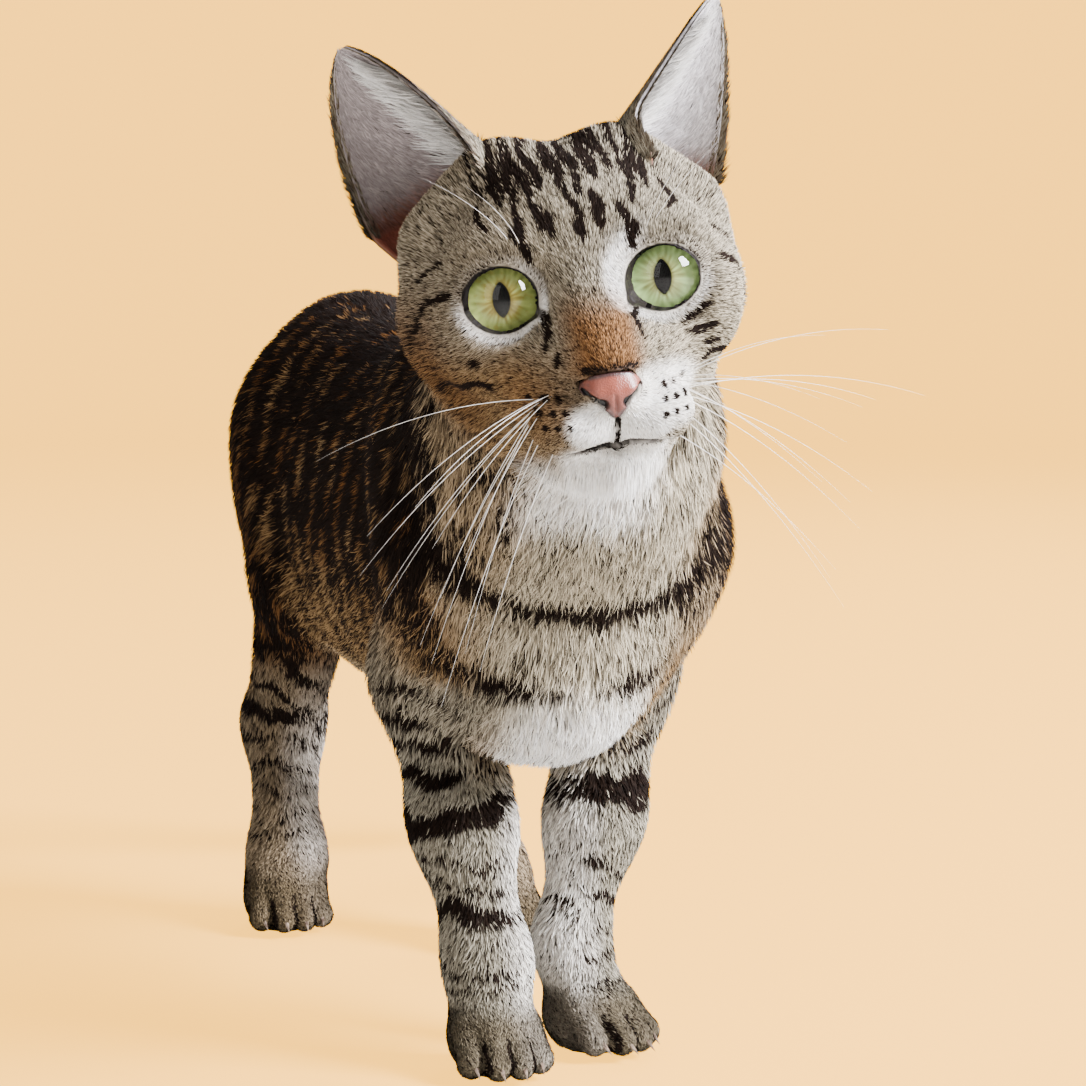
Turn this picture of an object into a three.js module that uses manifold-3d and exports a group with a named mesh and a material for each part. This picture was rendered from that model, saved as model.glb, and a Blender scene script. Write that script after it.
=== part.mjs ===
// A standing domestic cat at life size: a still, solid display model.
// Units are millimetres, +Z is up, and the cat faces -Y with its left side at +X.
// Each part is one closed solid. The flesh is drawn as one smooth body of eggs and
// bone-like tapers, blended where they meet, and parted by thin flat cuts.

import * as THREE from 'three';
import Module from 'manifold-3d';

const wasm = await Module();
wasm.setup();

// ---------------------------------------------------------------- driving sizes

const GAP = 0.35; // width of the thin cuts between parts
const EYE_RADIUS = 11.5;
const EYE_SPREAD = 22; // from the middle of the face to each eye
const EAR_WALL = 2.6;
const CLAW_LENGTH = 9;
const CLAW_RADIUS = 1.6;
const NOSE_SIZE = [16, 12, 12];

// Edge lengths of the facets on each kind of part.
const FACET = {
  face: 5.4,
  head: 7.2,
  crown: 12,
  nose: 3.6,
  neck: 13.5,
  trunk: 17,
  thigh: 15,
  leg: 11.9,
  shank: 11.8,
  foot: 8.2,
  paw: 7.8,
};

// The head: where the middle of the eyes lies, and how the face is turned.
const HEAD = {
  at: [-26, -229, 246],
  turn: 10, // degrees to the cat's right
  nod: 7, // degrees down
  roll: 8, // degrees, left side up
};

// Limbs, by their joints. Right is -X.
const FORELEGS = {
  right: {
    shoulder: [-27, -131, 166],
    elbow: [-28.5, -90, 121],
    middle: [-21.5, -102, 76],
    wrist: [-17, -113, 34],
    paw: [-17, -122, 0],
    heading: 2,
    girth: [23.5, 17, 14.6, 12],
    pawWidth: 30,
  },
  left: {
    shoulder: [28.5, -128, 162],
    elbow: [34, -90, 119],
    middle: [24, -97, 74],
    wrist: [15.5, -98, 34],
    paw: [22.5, -105, 0],
    heading: -22,
    girth: [24.5, 17.5, 13.8, 10.4],
    pawWidth: 30,
  },
};

const HINDLEGS = {
  right: {
    hip: [-19, 100, 186],
    stifle: [-27, 66, 138],
    hock: [-23, 124, 74],
    ankle: [-26, 108, 24],
    paw: [-29.5, 97, 0],
    heading: 2,
    girth: [25, 20, 13.5, 12.4],
    pawWidth: 31,
  },
  left: {
    hip: [19, 96, 186],
    stifle: [29, 26, 136],
    hock: [32, 74, 72],
    ankle: [36, 51, 24],
    paw: [37, 38, 0],
    heading: -6,
    girth: [25, 20, 13.5, 12.4],
    pawWidth: 31,
  },
};

// The tail hangs from the rump and swings to the cat's left.
const TAIL_POINTS = [
  [0, 128, 212], [5, 156, 196], [14, 174, 164], [28, 184, 128],
  [46, 190, 94], [66, 194, 66], [86, 198, 52], [104, 203, 54], [116, 208, 66],
];
const TAIL_RADII = [19, 17.5, 16, 15, 14, 13, 12, 11, 8.5];

// ---------------------------------------------------------------- colours

const COAT_DARK = 0x4a3a2c;
const COAT_GREY = 0x8a7a66;
const COAT_PALE = 0xb9a98f;
const EAR_PINK = 0xb59c92;
const IRIS_GREEN = 0xb4bf84;
const NOSE_SALMON = 0xc07a6a;
const CLAW_BROWN = 0x3a2c24;

const coat = (color) => new THREE.MeshStandardMaterial({ color, roughness: 0.85, metalness: 0 });
const iris = () => new THREE.MeshStandardMaterial({ color: IRIS_GREEN, roughness: 0.08, metalness: 0 });
const leather = () => new THREE.MeshStandardMaterial({ color: NOSE_SALMON, roughness: 0.5, metalness: 0 });
const horn = () => new THREE.MeshStandardMaterial({ color: CLAW_BROWN, roughness: 0.3, metalness: 0 });

// ---------------------------------------------------------------- shape rules
// A shape is a rule (x, y, z) => distance to its surface, negative inside.

/** An ellipsoid by its centre, half sizes and turns about x, y and z in degrees. */
function egg(centre, half, turns = [0, 0, 0]) {
  const [tx, ty, tz] = turns.map(THREE.MathUtils.degToRad);
  const e = new THREE.Matrix4().makeRotationFromEuler(new THREE.Euler(tx, ty, tz)).elements;
  const [a, b, c] = half;
  return (x, y, z) => {
    const dx = x - centre[0];
    const dy = y - centre[1];
    const dz = z - centre[2];
    const px = (e[0] * dx + e[1] * dy + e[2] * dz) / a;
    const py = (e[4] * dx + e[5] * dy + e[6] * dz) / b;
    const pz = (e[8] * dx + e[9] * dy + e[10] * dz) / c;
    const near = Math.hypot(px, py, pz);
    const slope = Math.hypot(px / a, py / b, pz / c);
    return slope === 0 ? -Math.min(a, b, c) : (near * (near - 1)) / slope;
  };
}

/** A taper with round ends, from radius ra at a to radius rb at b. */
function bone(a, b, ra, rb) {
  const ax = [b[0] - a[0], b[1] - a[1], b[2] - a[2]];
  const length2 = ax[0] ** 2 + ax[1] ** 2 + ax[2] ** 2;
  const fall = ra - rb;
  const slant2 = length2 - fall * fall;
  const unit = 1 / length2;
  return (x, y, z) => {
    const px = x - a[0];
    const py = y - a[1];
    const pz = z - a[2];
    const along = px * ax[0] + py * ax[1] + pz * ax[2];
    const beyond = along - length2;
    const cx = px * length2 - ax[0] * along;
    const cy = py * length2 - ax[1] * along;
    const cz = pz * length2 - ax[2] * along;
    const off2 = cx * cx + cy * cy + cz * cz;
    const along2 = along * along * length2;
    const beyond2 = beyond * beyond * length2;
    const k = Math.sign(fall) * fall * fall * off2;
    if (Math.sign(beyond) * slant2 * beyond2 > k) return Math.sqrt(off2 + beyond2) * unit - rb;
    if (Math.sign(along) * slant2 * along2 < k) return Math.sqrt(off2 + along2) * unit - ra;
    return (Math.sqrt(off2 * slant2 * unit) + along * fall) * unit - ra;
  };
}

/** Joins shapes with a fillet of the given size. */
function blend(fillet, ...shapes) {
  return (x, y, z) => {
    let d = shapes[0](x, y, z);
    for (let i = 1; i < shapes.length; i += 1) {
      const other = shapes[i](x, y, z);
      const h = Math.max(fillet - Math.abs(d - other), 0) / fillet;
      d = Math.min(d, other) - (h * h * fillet) / 4;
    }
    return d;
  };
}

/** Hollows a shape by a tool, with a rounded edge. */
function carve(fillet, shape, tool) {
  return (x, y, z) => {
    const d = shape(x, y, z);
    const hole = -tool(x, y, z);
    const h = Math.max(fillet - Math.abs(d - hole), 0) / fillet;
    return Math.max(d, hole) + (h * h * fillet) / 4;
  };
}

/** The same shape on both sides of x = 0. */
const pair = (shape) => (x, y, z) => shape(Math.abs(x), y, z);

/** A chain of tapers through the points. */
function limb(fillet, points, radii) {
  const lengths = points.slice(1).map((point, i) => bone(points[i], point, radii[i], radii[i + 1]));
  return blend(fillet, ...lengths);
}

// ---------------------------------------------------------------- the head

function headPlace() {
  const turn = THREE.MathUtils.degToRad(-HEAD.turn);
  const nod = THREE.MathUtils.degToRad(HEAD.nod);
  const roll = THREE.MathUtils.degToRad(-HEAD.roll);
  const place = new THREE.Matrix4().makeRotationFromEuler(new THREE.Euler(nod, roll, turn, 'ZXY'));
  return place.setPosition(...HEAD.at);
}

const headMatrix = headPlace();
const headInverse = headMatrix.clone().invert().elements;

/** Puts a shape drawn about the middle of the eyes where the head is. */
function onHead(shape) {
  const m = headInverse;
  return (x, y, z) => shape(
    m[0] * x + m[4] * y + m[8] * z + m[12],
    m[1] * x + m[5] * y + m[9] * z + m[13],
    m[2] * x + m[6] * y + m[10] * z + m[14],
  );
}

function faceShape() {
  const skull = blend(
    14,
    egg([0, 36, 3], [38, 42, 33]),
    pair(egg([28, 29, -9], [22, 28, 22])),
    egg([0, 8, 14], [27, 19, 19]),
    pair(bone([17, 28, 27], [34, 27, 14], 12, 11)),
  );
  const jaw = pair(bone([17, 16, -31], [6, -14, -41], 17, 9));
  const brow = pair(egg([18, 1, 13], [14, 9, 7]));
  const cheekbone = pair(egg([23, 1, -15], [14, 9, 8]));
  const bridge = bone([0, -3, 4], [0, -26.5, -17], 12, 8);
  const snout = egg([0, -9, -22], [24, 20, 20]);
  const nose = egg([0, -32, -24.5], [8.2, 5, 6.5]);
  const pads = pair(egg([9.5, -23, -32], [13, 12.5, 9.5]));
  const chin = egg([0, -20, -42.5], [9, 9, 6.5]);
  const face = blend(6, blend(10, skull, jaw, cheekbone, brow, snout), bridge, pads, chin, nose);
  const lids = pair(egg([EYE_SPREAD + 0.6, -12.5, 0.3], [9.8, 8.5, 9.8]));
  return carve(3, face, lids);
}

const head = onHead(faceShape());

const EARS = {
  left: { foot: [36, 28, 22], tip: [52, 38, 70], open: 55 },
  right: { foot: [-36, 28, 22], tip: [-54, 38, 69], open: -37 },
};
const EAR_HALF_WIDTH = 21;
const EAR_BLUNTNESS = 1.9; // powers of the ear's outline: how far up it stays wide,
const EAR_TAPER = 0.75; // and how it closes at the tip
const EAR_ROWS = 7;
const EAR_COLUMNS = 7;

/** A leaf of the ear: a hollow cone, open forwards and outwards, with a blunt tip. */
function earSolid({ foot, tip, open }) {
  const base = new THREE.Vector3(...foot);
  const axis = new THREE.Vector3(...tip).sub(base);
  const height = axis.length();
  axis.normalize();
  const angle = THREE.MathUtils.degToRad(open);
  const front = new THREE.Vector3(Math.sin(angle), -Math.cos(angle), 0);
  front.addScaledVector(axis, -front.dot(axis)).normalize();
  const across = new THREE.Vector3().crossVectors(axis, front);
  const leaf = (row, column, side) => {
    const v = -0.16 + (1.16 * row) / EAR_ROWS;
    const u = -1 + (2 * column) / EAR_COLUMNS;
    const up = Math.max(v, 0);
    const half = EAR_HALF_WIDTH * Math.max(1 - up ** EAR_BLUNTNESS, 0.012) ** EAR_TAPER;
    const wrap = THREE.MathUtils.degToRad(102 - 58 * up);
    const radius = half / Math.sin(Math.min(wrap, Math.PI / 2));
    const theta = u * wrap;
    const wall = (side * EAR_WALL * (1 - 0.35 * up)) / 2;
    const rim = radius * Math.cos(wrap);
    return new THREE.Vector3()
      .copy(base)
      .addScaledVector(axis, height * v)
      .addScaledVector(across, (radius + wall) * Math.sin(theta))
      .addScaledVector(front, rim - (radius + wall) * Math.cos(theta))
      .applyMatrix4(headMatrix);
  };
  const vertices = [];
  for (const side of [1, -1]) {
    for (let row = 0; row <= EAR_ROWS; row += 1) {
      for (let column = 0; column <= EAR_COLUMNS; column += 1) {
        vertices.push(...leaf(row, column, side).toArray());
      }
    }
  }
  const wide = EAR_COLUMNS + 1;
  const layer = wide * (EAR_ROWS + 1);
  const triangles = [];
  const quad = (a, b, c, d) => triangles.push(a, c, b, a, d, c);
  for (let row = 0; row < EAR_ROWS; row += 1) {
    for (let column = 0; column < EAR_COLUMNS; column += 1) {
      const at = row * wide + column;
      quad(at, at + 1, at + wide + 1, at + wide);
      quad(layer + at, layer + at + wide, layer + at + wide + 1, layer + at + 1);
    }
    const first = row * wide;
    const last = first + EAR_COLUMNS;
    quad(first, first + wide, layer + first + wide, layer + first);
    quad(last, layer + last, layer + last + wide, last + wide);
  }
  for (let column = 0; column < EAR_COLUMNS; column += 1) {
    const top = EAR_ROWS * wide + column;
    quad(column, layer + column, layer + column + 1, column + 1);
    quad(top, top + 1, layer + top + 1, layer + top);
  }
  return solidOf(vertices, triangles);
}

// ---------------------------------------------------------------- neck, trunk and tail

const neck = blend(
  16,
  bone([1, -108, 188], [-6, -156, 201], 46, 44),
  bone([-6, -156, 201], [-16, -186, 221], 44, 38),
);

const trunk = blend(
  24,
  egg([0, -66, 166], [46.5, 92, 66]),
  egg([0, -124, 156], [43, 36, 46]),
  egg([0, 26, 165], [44, 88, 66]),
  egg([0, 92, 187], [41, 60, 51]),
  pair(bone([14, -84, 214], [26, -128, 172], 20, 24)),
);

const sternum = bone([0, -120, 124], [0, -30, 130], 27, 28);

// ---------------------------------------------------------------- legs and paws

/** A point given ahead of, to the left of and above a paw's middle. */
function fromPaw({ paw, heading }, ahead, left, up) {
  const angle = THREE.MathUtils.degToRad(heading);
  return [
    paw[0] - ahead * Math.sin(angle) + left * Math.cos(angle),
    paw[1] - ahead * Math.cos(angle) - left * Math.sin(angle),
    paw[2] + up,
  ];
}

// Toes, counted from the cat's right to its left: place across the paw, and reach.
const TOES = [
  { across: -0.36, reach: 14 },
  { across: -0.123, reach: 19 },
  { across: 0.123, reach: 19 },
  { across: 0.36, reach: 14 },
];

function pawShape(leg) {
  const toes = TOES.map(({ across, reach }) => bone(
    fromPaw(leg, reach - 13, across * leg.pawWidth * 0.85, 13.5),
    fromPaw(leg, reach - 3.5, across * leg.pawWidth, 6.6),
    6,
    5.6,
  ));
  const palm = egg(fromPaw(leg, -4, 0, 10), [leg.pawWidth * 0.44, 17, 12.5], [0, 0, -leg.heading]);
  return blend(2.5, palm, ...toes);
}

function forelegShape(leg) {
  const points = [leg.shoulder, leg.elbow, leg.middle, leg.wrist];
  return blend(12, limb(14, points, leg.girth), bone(leg.wrist, fromPaw(leg, -4, 0, 14), leg.girth[3], 12));
}

function hindlegShape(leg) {
  const [hx, hy, hz] = leg.hip;
  const [sx, sy, sz] = leg.stifle;
  const thigh = egg([(hx + sx) / 2, (hy + sy) / 2 + 12, (hz + sz) / 2], [22, 42, 46], [-24, 0, 0]);
  const bones = limb(14, [leg.hip, leg.stifle, leg.hock, leg.ankle], leg.girth);
  return blend(14, thigh, bones, bone(leg.ankle, fromPaw(leg, -2, 0, 13), leg.girth[3], 12));
}

const SIDES = ['left', 'right'];
const legShapes = {};
for (const side of SIDES) {
  legShapes[side] = {
    fore: blend(8, forelegShape(FORELEGS[side]), pawShape(FORELEGS[side])),
    hind: blend(8, hindlegShape(HINDLEGS[side]), pawShape(HINDLEGS[side])),
  };
}

const torso = blend(20, trunk, neck, sternum);
const fore = (x, y, z) => Math.min(legShapes.left.fore(x, y, z), legShapes.right.fore(x, y, z));
const hind = (x, y, z) => Math.min(legShapes.left.hind(x, y, z), legShapes.right.hind(x, y, z));
const body = blend(14, blend(16, torso, fore, hind), head);

/** The torso with one leg only, so that neighbouring legs stay apart. */
const torsoWith = (leg) => blend(16, torso, leg);

// ---------------------------------------------------------------- facets

const CORNERS = [0, 1, 2, 3, 4, 5, 6, 7].map((i) => [i & 1, (i >> 1) & 1, i >> 2]);
const EDGES = [];
CORNERS.forEach((corner, i) => {
  for (let axis = 0; axis < 3; axis += 1) {
    if (corner[axis] === 0) EDGES.push([i, i | (1 << axis)]);
  }
});

/** Moves a point along the slope of the shape until it lies on the surface. */
function settle(shape, point, reach) {
  const tiny = 0.05;
  for (let pass = 0; pass < 5; pass += 1) {
    const [x, y, z] = point;
    const d = shape(x, y, z);
    const slope = [
      (shape(x + tiny, y, z) - shape(x - tiny, y, z)) / (2 * tiny),
      (shape(x, y + tiny, z) - shape(x, y - tiny, z)) / (2 * tiny),
      (shape(x, y, z + tiny) - shape(x, y, z - tiny)) / (2 * tiny),
    ];
    const steep = slope[0] ** 2 + slope[1] ** 2 + slope[2] ** 2 + 1e-9;
    const move = THREE.MathUtils.clamp(d / steep, -reach, reach);
    for (let i = 0; i < 3; i += 1) point[i] -= move * slope[i];
  }
  return point;
}

/** Grid lines from low to high and one step beyond, spaced by size, a number or a rule. */
function gridLines(low, high, size) {
  const step = typeof size === 'function' ? size : () => size;
  const lines = [low - step(low)];
  while (lines.at(-1) < high) lines.push(lines.at(-1) + step(lines.at(-1)));
  lines.push(lines.at(-1) + step(lines.at(-1)));
  return lines;
}

/** A closed faceted solid over a shape, kept inside the box from low to high. */
function facets(shape, low, high, size) {
  const boxed = (x, y, z) => Math.max(
    shape(x, y, z), low[0] - x, x - high[0], low[1] - y, y - high[1], low[2] - z, z - high[2],
  );
  const sizes = Array.isArray(size) ? size : [size, size, size];
  const lines = low.map((from, i) => gridLines(from, high[i], sizes[i]));
  const nodes = lines.map((line) => line.length);
  const cells = nodes.map((n) => n - 1);
  const nodeAt = (i, j, k) => (k * nodes[1] + j) * nodes[0] + i;
  const cellAt = (i, j, k) => (k * cells[1] + j) * cells[0] + i;

  const value = new Float64Array(nodes[0] * nodes[1] * nodes[2]);
  for (let k = 0; k < nodes[2]; k += 1) {
    for (let j = 0; j < nodes[1]; j += 1) {
      for (let i = 0; i < nodes[0]; i += 1) {
        value[nodeAt(i, j, k)] = boxed(lines[0][i], lines[1][j], lines[2][k]);
      }
    }
  }

  const points = [];
  const pointOf = new Map();
  for (let k = 0; k < cells[2]; k += 1) {
    for (let j = 0; j < cells[1]; j += 1) {
      for (let i = 0; i < cells[0]; i += 1) {
        const at = CORNERS.map(([a, b, c]) => value[nodeAt(i + a, j + b, k + c)]);
        const crossings = EDGES.filter(([a, b]) => at[a] < 0 !== at[b] < 0).map(([a, b]) => {
          const t = at[a] / (at[a] - at[b]);
          return CORNERS[a].map((from, axis) => from + t * (CORNERS[b][axis] - from));
        });
        if (crossings.length === 0) continue;
        const mean = [0, 1, 2].map((axis) => (
          crossings.reduce((sum, crossing) => sum + crossing[axis], 0) / crossings.length));
        const cell = [i, j, k].map((n, axis) => [lines[axis][n], lines[axis][n + 1]]);
        const point = cell.map(([from, to], axis) => from + mean[axis] * (to - from));
        pointOf.set(cellAt(i, j, k), points.length);
        points.push(settle(boxed, point, (cell[0][1] - cell[0][0]) / 4));
      }
    }
  }

  const triangles = [];
  const midValue = (a, b) => {
    const mid = points[a].map((v, i) => (v + points[b][i]) / 2);
    return Math.abs(boxed(...mid));
  };
  const addQuad = (a, b, c, d) => {
    if (midValue(a, c) <= midValue(b, d)) triangles.push(a, b, c, a, c, d);
    else triangles.push(a, b, d, b, c, d);
  };
  for (let k = 1; k < cells[2]; k += 1) {
    for (let j = 1; j < cells[1]; j += 1) {
      for (let i = 1; i < cells[0]; i += 1) {
        const here = value[nodeAt(i, j, k)] < 0;
        for (let axis = 0; axis < 3; axis += 1) {
          const next = [i, j, k];
          next[axis] += 1;
          if (here === value[nodeAt(...next)] < 0) continue;
          const u = (axis + 1) % 3;
          const v = (axis + 2) % 3;
          const ring = [[0, 0], [-1, 0], [-1, -1], [0, -1]].map(([du, dv]) => {
            const cell = [i, j, k];
            cell[u] += du;
            cell[v] += dv;
            return pointOf.get(cellAt(...cell));
          });
          if (here) addQuad(...ring);
          else addQuad(...ring.reverse());
        }
      }
    }
  }
  return solidOf(points.flat(), triangles);
}

function solidOf(vertices, triangles) {
  return new wasm.Manifold(new wasm.Mesh({
    numProp: 3,
    vertProperties: new Float32Array(vertices),
    triVerts: new Uint32Array(triangles),
  }));
}

/** A solid from a closed three.js geometry whose shared points are merged by place. */
function solidFrom(geometry) {
  const position = geometry.getAttribute('position');
  const index = geometry.getIndex();
  const count = index ? index.count : position.count;
  const known = new Map();
  const vertices = [];
  const triangles = [];
  for (let n = 0; n < count; n += 1) {
    const i = index ? index.getX(n) : n;
    const point = [position.getX(i), position.getY(i), position.getZ(i)];
    const key = point.map((v) => v.toFixed(3)).join();
    if (!known.has(key)) {
      known.set(key, known.size);
      vertices.push(...point);
    }
    triangles.push(known.get(key));
  }
  const whole = [];
  for (let n = 0; n < triangles.length; n += 3) {
    const [a, b, c] = triangles.slice(n, n + 3);
    if (a !== b && b !== c && c !== a) whole.push(a, b, c);
  }
  return solidOf(vertices, whole);
}

// ---------------------------------------------------------------- thin cuts

const FAR = 900; // larger than the cat

/** The half of space beyond a point, towards a direction; room moves its face back. */
function halfSpace(point, towards, room = 0) {
  const way = new THREE.Vector3(...towards).normalize();
  const turn = new THREE.Quaternion().setFromUnitVectors(new THREE.Vector3(0, 0, 1), way);
  const centre = new THREE.Vector3(...point).addScaledVector(way, FAR / 2 - room);
  const box = new THREE.BoxGeometry(FAR, FAR, FAR).applyQuaternion(turn);
  return solidFrom(box.translate(centre.x, centre.y, centre.z));
}

/** Space bounded by planes, each a point on it and the way in. */
function region(planes, room = 0) {
  return planes
    .map(([point, towards]) => halfSpace(point, towards, room))
    .reduce((space, half) => space.intersect(half));
}

const flip = ([point, towards]) => [point, towards.map((v) => -v)];

const NAPE_CUT = [[-14, -160, 225], [-0.15, -0.93, 0.33]];
const COLLAR_CUT = [[-2, -135, 190], [-0.1, -0.75, 0.66]];
const MIDLINE = 2.6;
const SEAT = 1; // clearance round the ears' and the tail's feet

/** The wedge that holds one leg: its upper cut slopes up and outwards from the groin. */
function legRegion(side, groin, top, front, back) {
  const out = side === 'left' ? 1 : -1;
  const rise = top[1] - groin[1];
  const run = top[0] - groin[0];
  return [
    [[out * groin[0], 0, groin[1]], [out * rise, 0, -run]],
    [[MIDLINE, 0, 0], [out, 0, 0]],
    [[0, front, 0], [0, 1, 0]],
    [[0, back, 0], [0, -1, 0]],
    flip(COLLAR_CUT),
  ];
}

const LEG_REGIONS = {
  left: {
    fore: legRegion('left', [10, 100], [50, 172], -175, -52),
    hind: legRegion('left', [8, 112], [50, 205], -8, 128),
  },
  right: {
    fore: legRegion('right', [6, 100], [50, 172], -175, -52),
    hind: legRegion('right', [8, 112], [50, 205], 32, 170),
  },
};

const WRIST_CUT = [[0, 0, 27], [0, 0, 1]];
const KNEE_CUT = [[0, 0, 117], [0, 0, 1]];
const HOCK_CUT = [[0, 0, 60], [0, 0, 1]];

/** A cut across a bone from a to b, at a share of its length, towards a. */
function acrossBone(a, b, share) {
  const point = a.map((v, i) => v + (b[i] - v) * share);
  return [point, a.map((v, i) => v - b[i])];
}

// ---------------------------------------------------------------- the model

const cat = new THREE.Group();
const SLIVER = 0.02; // edges left shorter than this by the cuts are closed up

function addNode(name, solid, material) {
  const { vertProperties, triVerts } = solid.simplify(SLIVER).getMesh();
  const geometry = new THREE.BufferGeometry();
  geometry.setAttribute('position', new THREE.BufferAttribute(new Float32Array(vertProperties), 3));
  geometry.setIndex(new THREE.BufferAttribute(new Uint32Array(triVerts), 1));
  geometry.computeVertexNormals();
  const mesh = new THREE.Mesh(geometry, material);
  mesh.name = name;
  cat.add(mesh);
}

/** A plain ball of facets on the head, by its place about the middle of the eyes. */
function eyeBall(side, radius) {
  const out = side === 'left' ? 1 : -1;
  const ball = new THREE.SphereGeometry(radius, 12, 8).translate(out * EYE_SPREAD, 0, 0);
  return solidFrom(ball.applyMatrix4(headMatrix));
}

const noseCentre = () => new THREE.Vector3(-1, -35, -25.5).applyMatrix4(headMatrix).toArray();

/** The block of the muzzle that is bare nose leather. */
function noseBlock(room) {
  const box = new THREE.BoxGeometry(...NOSE_SIZE.map((size) => size + 2 * room));
  return solidFrom(box.translate(0, -35, -25.5).applyMatrix4(headMatrix));
}

/** The box about a list of points, grown by a margin. */
function boxAbout(points, margin) {
  const low = [0, 1, 2].map((i) => Math.min(...points.map((point) => point[i])) - margin);
  const high = [0, 1, 2].map((i) => Math.max(...points.map((point) => point[i])) + margin);
  return [low, high];
}

function addHead() {
  const [x, y, z] = HEAD.at;
  const deep = (at) => (at < y + 8 ? FACET.face : FACET.crown);
  const box = [[x - 75, y - 60, z - 110], [x + 75, y + 100, z + 60]];
  const size = [FACET.head, deep, FACET.head];
  let solid = facets(body, ...box, size).intersect(region([NAPE_CUT], -GAP / 2));
  for (const side of SIDES) solid = solid.subtract(eyeBall(side, EYE_RADIUS + GAP));
  addNode('head', solid.subtract(noseBlock(GAP / 2)), coat(COAT_GREY));
  const muzzle = facets(body, ...boxAbout([noseCentre()], 16), FACET.nose);
  addNode('nose', muzzle.intersect(noseBlock(-GAP / 2)), leather());
  const seat = facets((px, py, pz) => body(px, py, pz) - SEAT, ...box, size);
  for (const side of SIDES) {
    addNode(`eye_${side}`, eyeBall(side, EYE_RADIUS), iris());
    addNode(`ear_${side}`, earSolid(EARS[side]).subtract(seat), coat(EAR_PINK));
  }
}

function addTorso() {
  const neckSolid = facets(body, [-85, -225, 120], [75, -85, 285], FACET.neck);
  addNode('neck', neckSolid.intersect(region([flip(NAPE_CUT), COLLAR_CUT], -GAP / 2)), coat(COAT_GREY));

  let trunkSolid = facets(body, [-75, -185, 70], [75, 175, 265], FACET.trunk);
  trunkSolid = trunkSolid.intersect(region([flip(COLLAR_CUT)], -GAP / 2));
  for (const side of SIDES) {
    for (const legs of Object.values(LEG_REGIONS[side])) {
      trunkSolid = trunkSolid.subtract(region(legs, GAP / 2));
    }
  }
  addNode('trunk', trunkSolid, coat(COAT_DARK));
}

/** A claw under the tip of a toe, pointing ahead and down; room makes its socket. */
function clawSolid(leg, toe, room) {
  const root = new THREE.Vector3(...fromPaw(leg, toe.reach - 3, toe.across * leg.pawWidth, 8.5));
  const tip = new THREE.Vector3(...fromPaw(leg, toe.reach + 4, toe.across * leg.pawWidth * 0.94, 3.8));
  const way = tip.clone().sub(root).normalize();
  const cone = new THREE.ConeGeometry(CLAW_RADIUS + room, CLAW_LENGTH + 5 * room, 6);
  const turn = new THREE.Quaternion().setFromUnitVectors(new THREE.Vector3(0, 1, 0), way);
  const middle = root.addScaledVector(way, CLAW_LENGTH / 2 + room);
  return solidFrom(cone.applyQuaternion(turn).translate(middle.x, middle.y, middle.z));
}

/** Cuts one length of a leg from its shape: planes bound it, and the sole is flat. */
function addLegPart(name, shape, box, size, planes, color, tools = []) {
  const floor = region([[[0, 0, 0], [0, 0, 1]]]);
  const whole = facets(shape, ...box, size).intersect(region(planes, -GAP / 2)).intersect(floor);
  addNode(name, tools.reduce((solid, tool) => solid.subtract(tool), whole), coat(color));
}

/** A paw with a socket for each claw, and the claws. */
function addPaw(kind, side, leg, shape, box, size, planes) {
  const sockets = TOES.map((toe) => clawSolid(leg, toe, GAP));
  addLegPart(`${kind}paw_${side}`, shape, box, size, planes, COAT_PALE, sockets);
  TOES.forEach((toe, n) => addNode(`claw_${kind}_${side}_${n + 1}`, clawSolid(leg, toe, 0), horn()));
}

function addForelegs() {
  for (const side of SIDES) {
    const leg = FORELEGS[side];
    const shape = torsoWith(legShapes[side].fore);
    const planes = LEG_REGIONS[side].fore;
    const [px, py] = leg.paw;
    const upper = boxAbout([leg.shoulder, leg.elbow, leg.middle, leg.wrist], 46);
    const paw = [[px - 32, py - 36, -7], [px + 32, py + 34, 34]];
    addLegPart(`foreleg_${side}`, shape, upper, FACET.leg, [...planes, WRIST_CUT], COAT_PALE);
    addPaw('fore', side, leg, shape, paw, FACET.paw, [...planes, flip(WRIST_CUT)]);
  }
}

function addHindlegs() {
  for (const side of SIDES) {
    const leg = HINDLEGS[side];
    const shape = torsoWith(legShapes[side].hind);
    const planes = LEG_REGIONS[side].hind;
    const [px, py] = leg.paw;
    const thigh = boxAbout([leg.hip, leg.stifle], 62);
    const shank = boxAbout([leg.stifle, leg.hock], 36);
    const foot = [[px - 32, py - 36, -7], [px + 32, leg.hock[1] + 30, 70]];
    addLegPart(`thigh_${side}`, shape, thigh, FACET.thigh, [...planes, KNEE_CUT], COAT_DARK);
    addLegPart(`shank_${side}`, shape, shank, FACET.shank, [...planes, flip(KNEE_CUT), HOCK_CUT], COAT_PALE);
    addPaw('hind', side, leg, shape, foot, FACET.foot, [...planes, flip(HOCK_CUT)]);
  }
}

const TAIL_STEPS = 18;
const TAIL_SIDES = 9;

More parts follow.
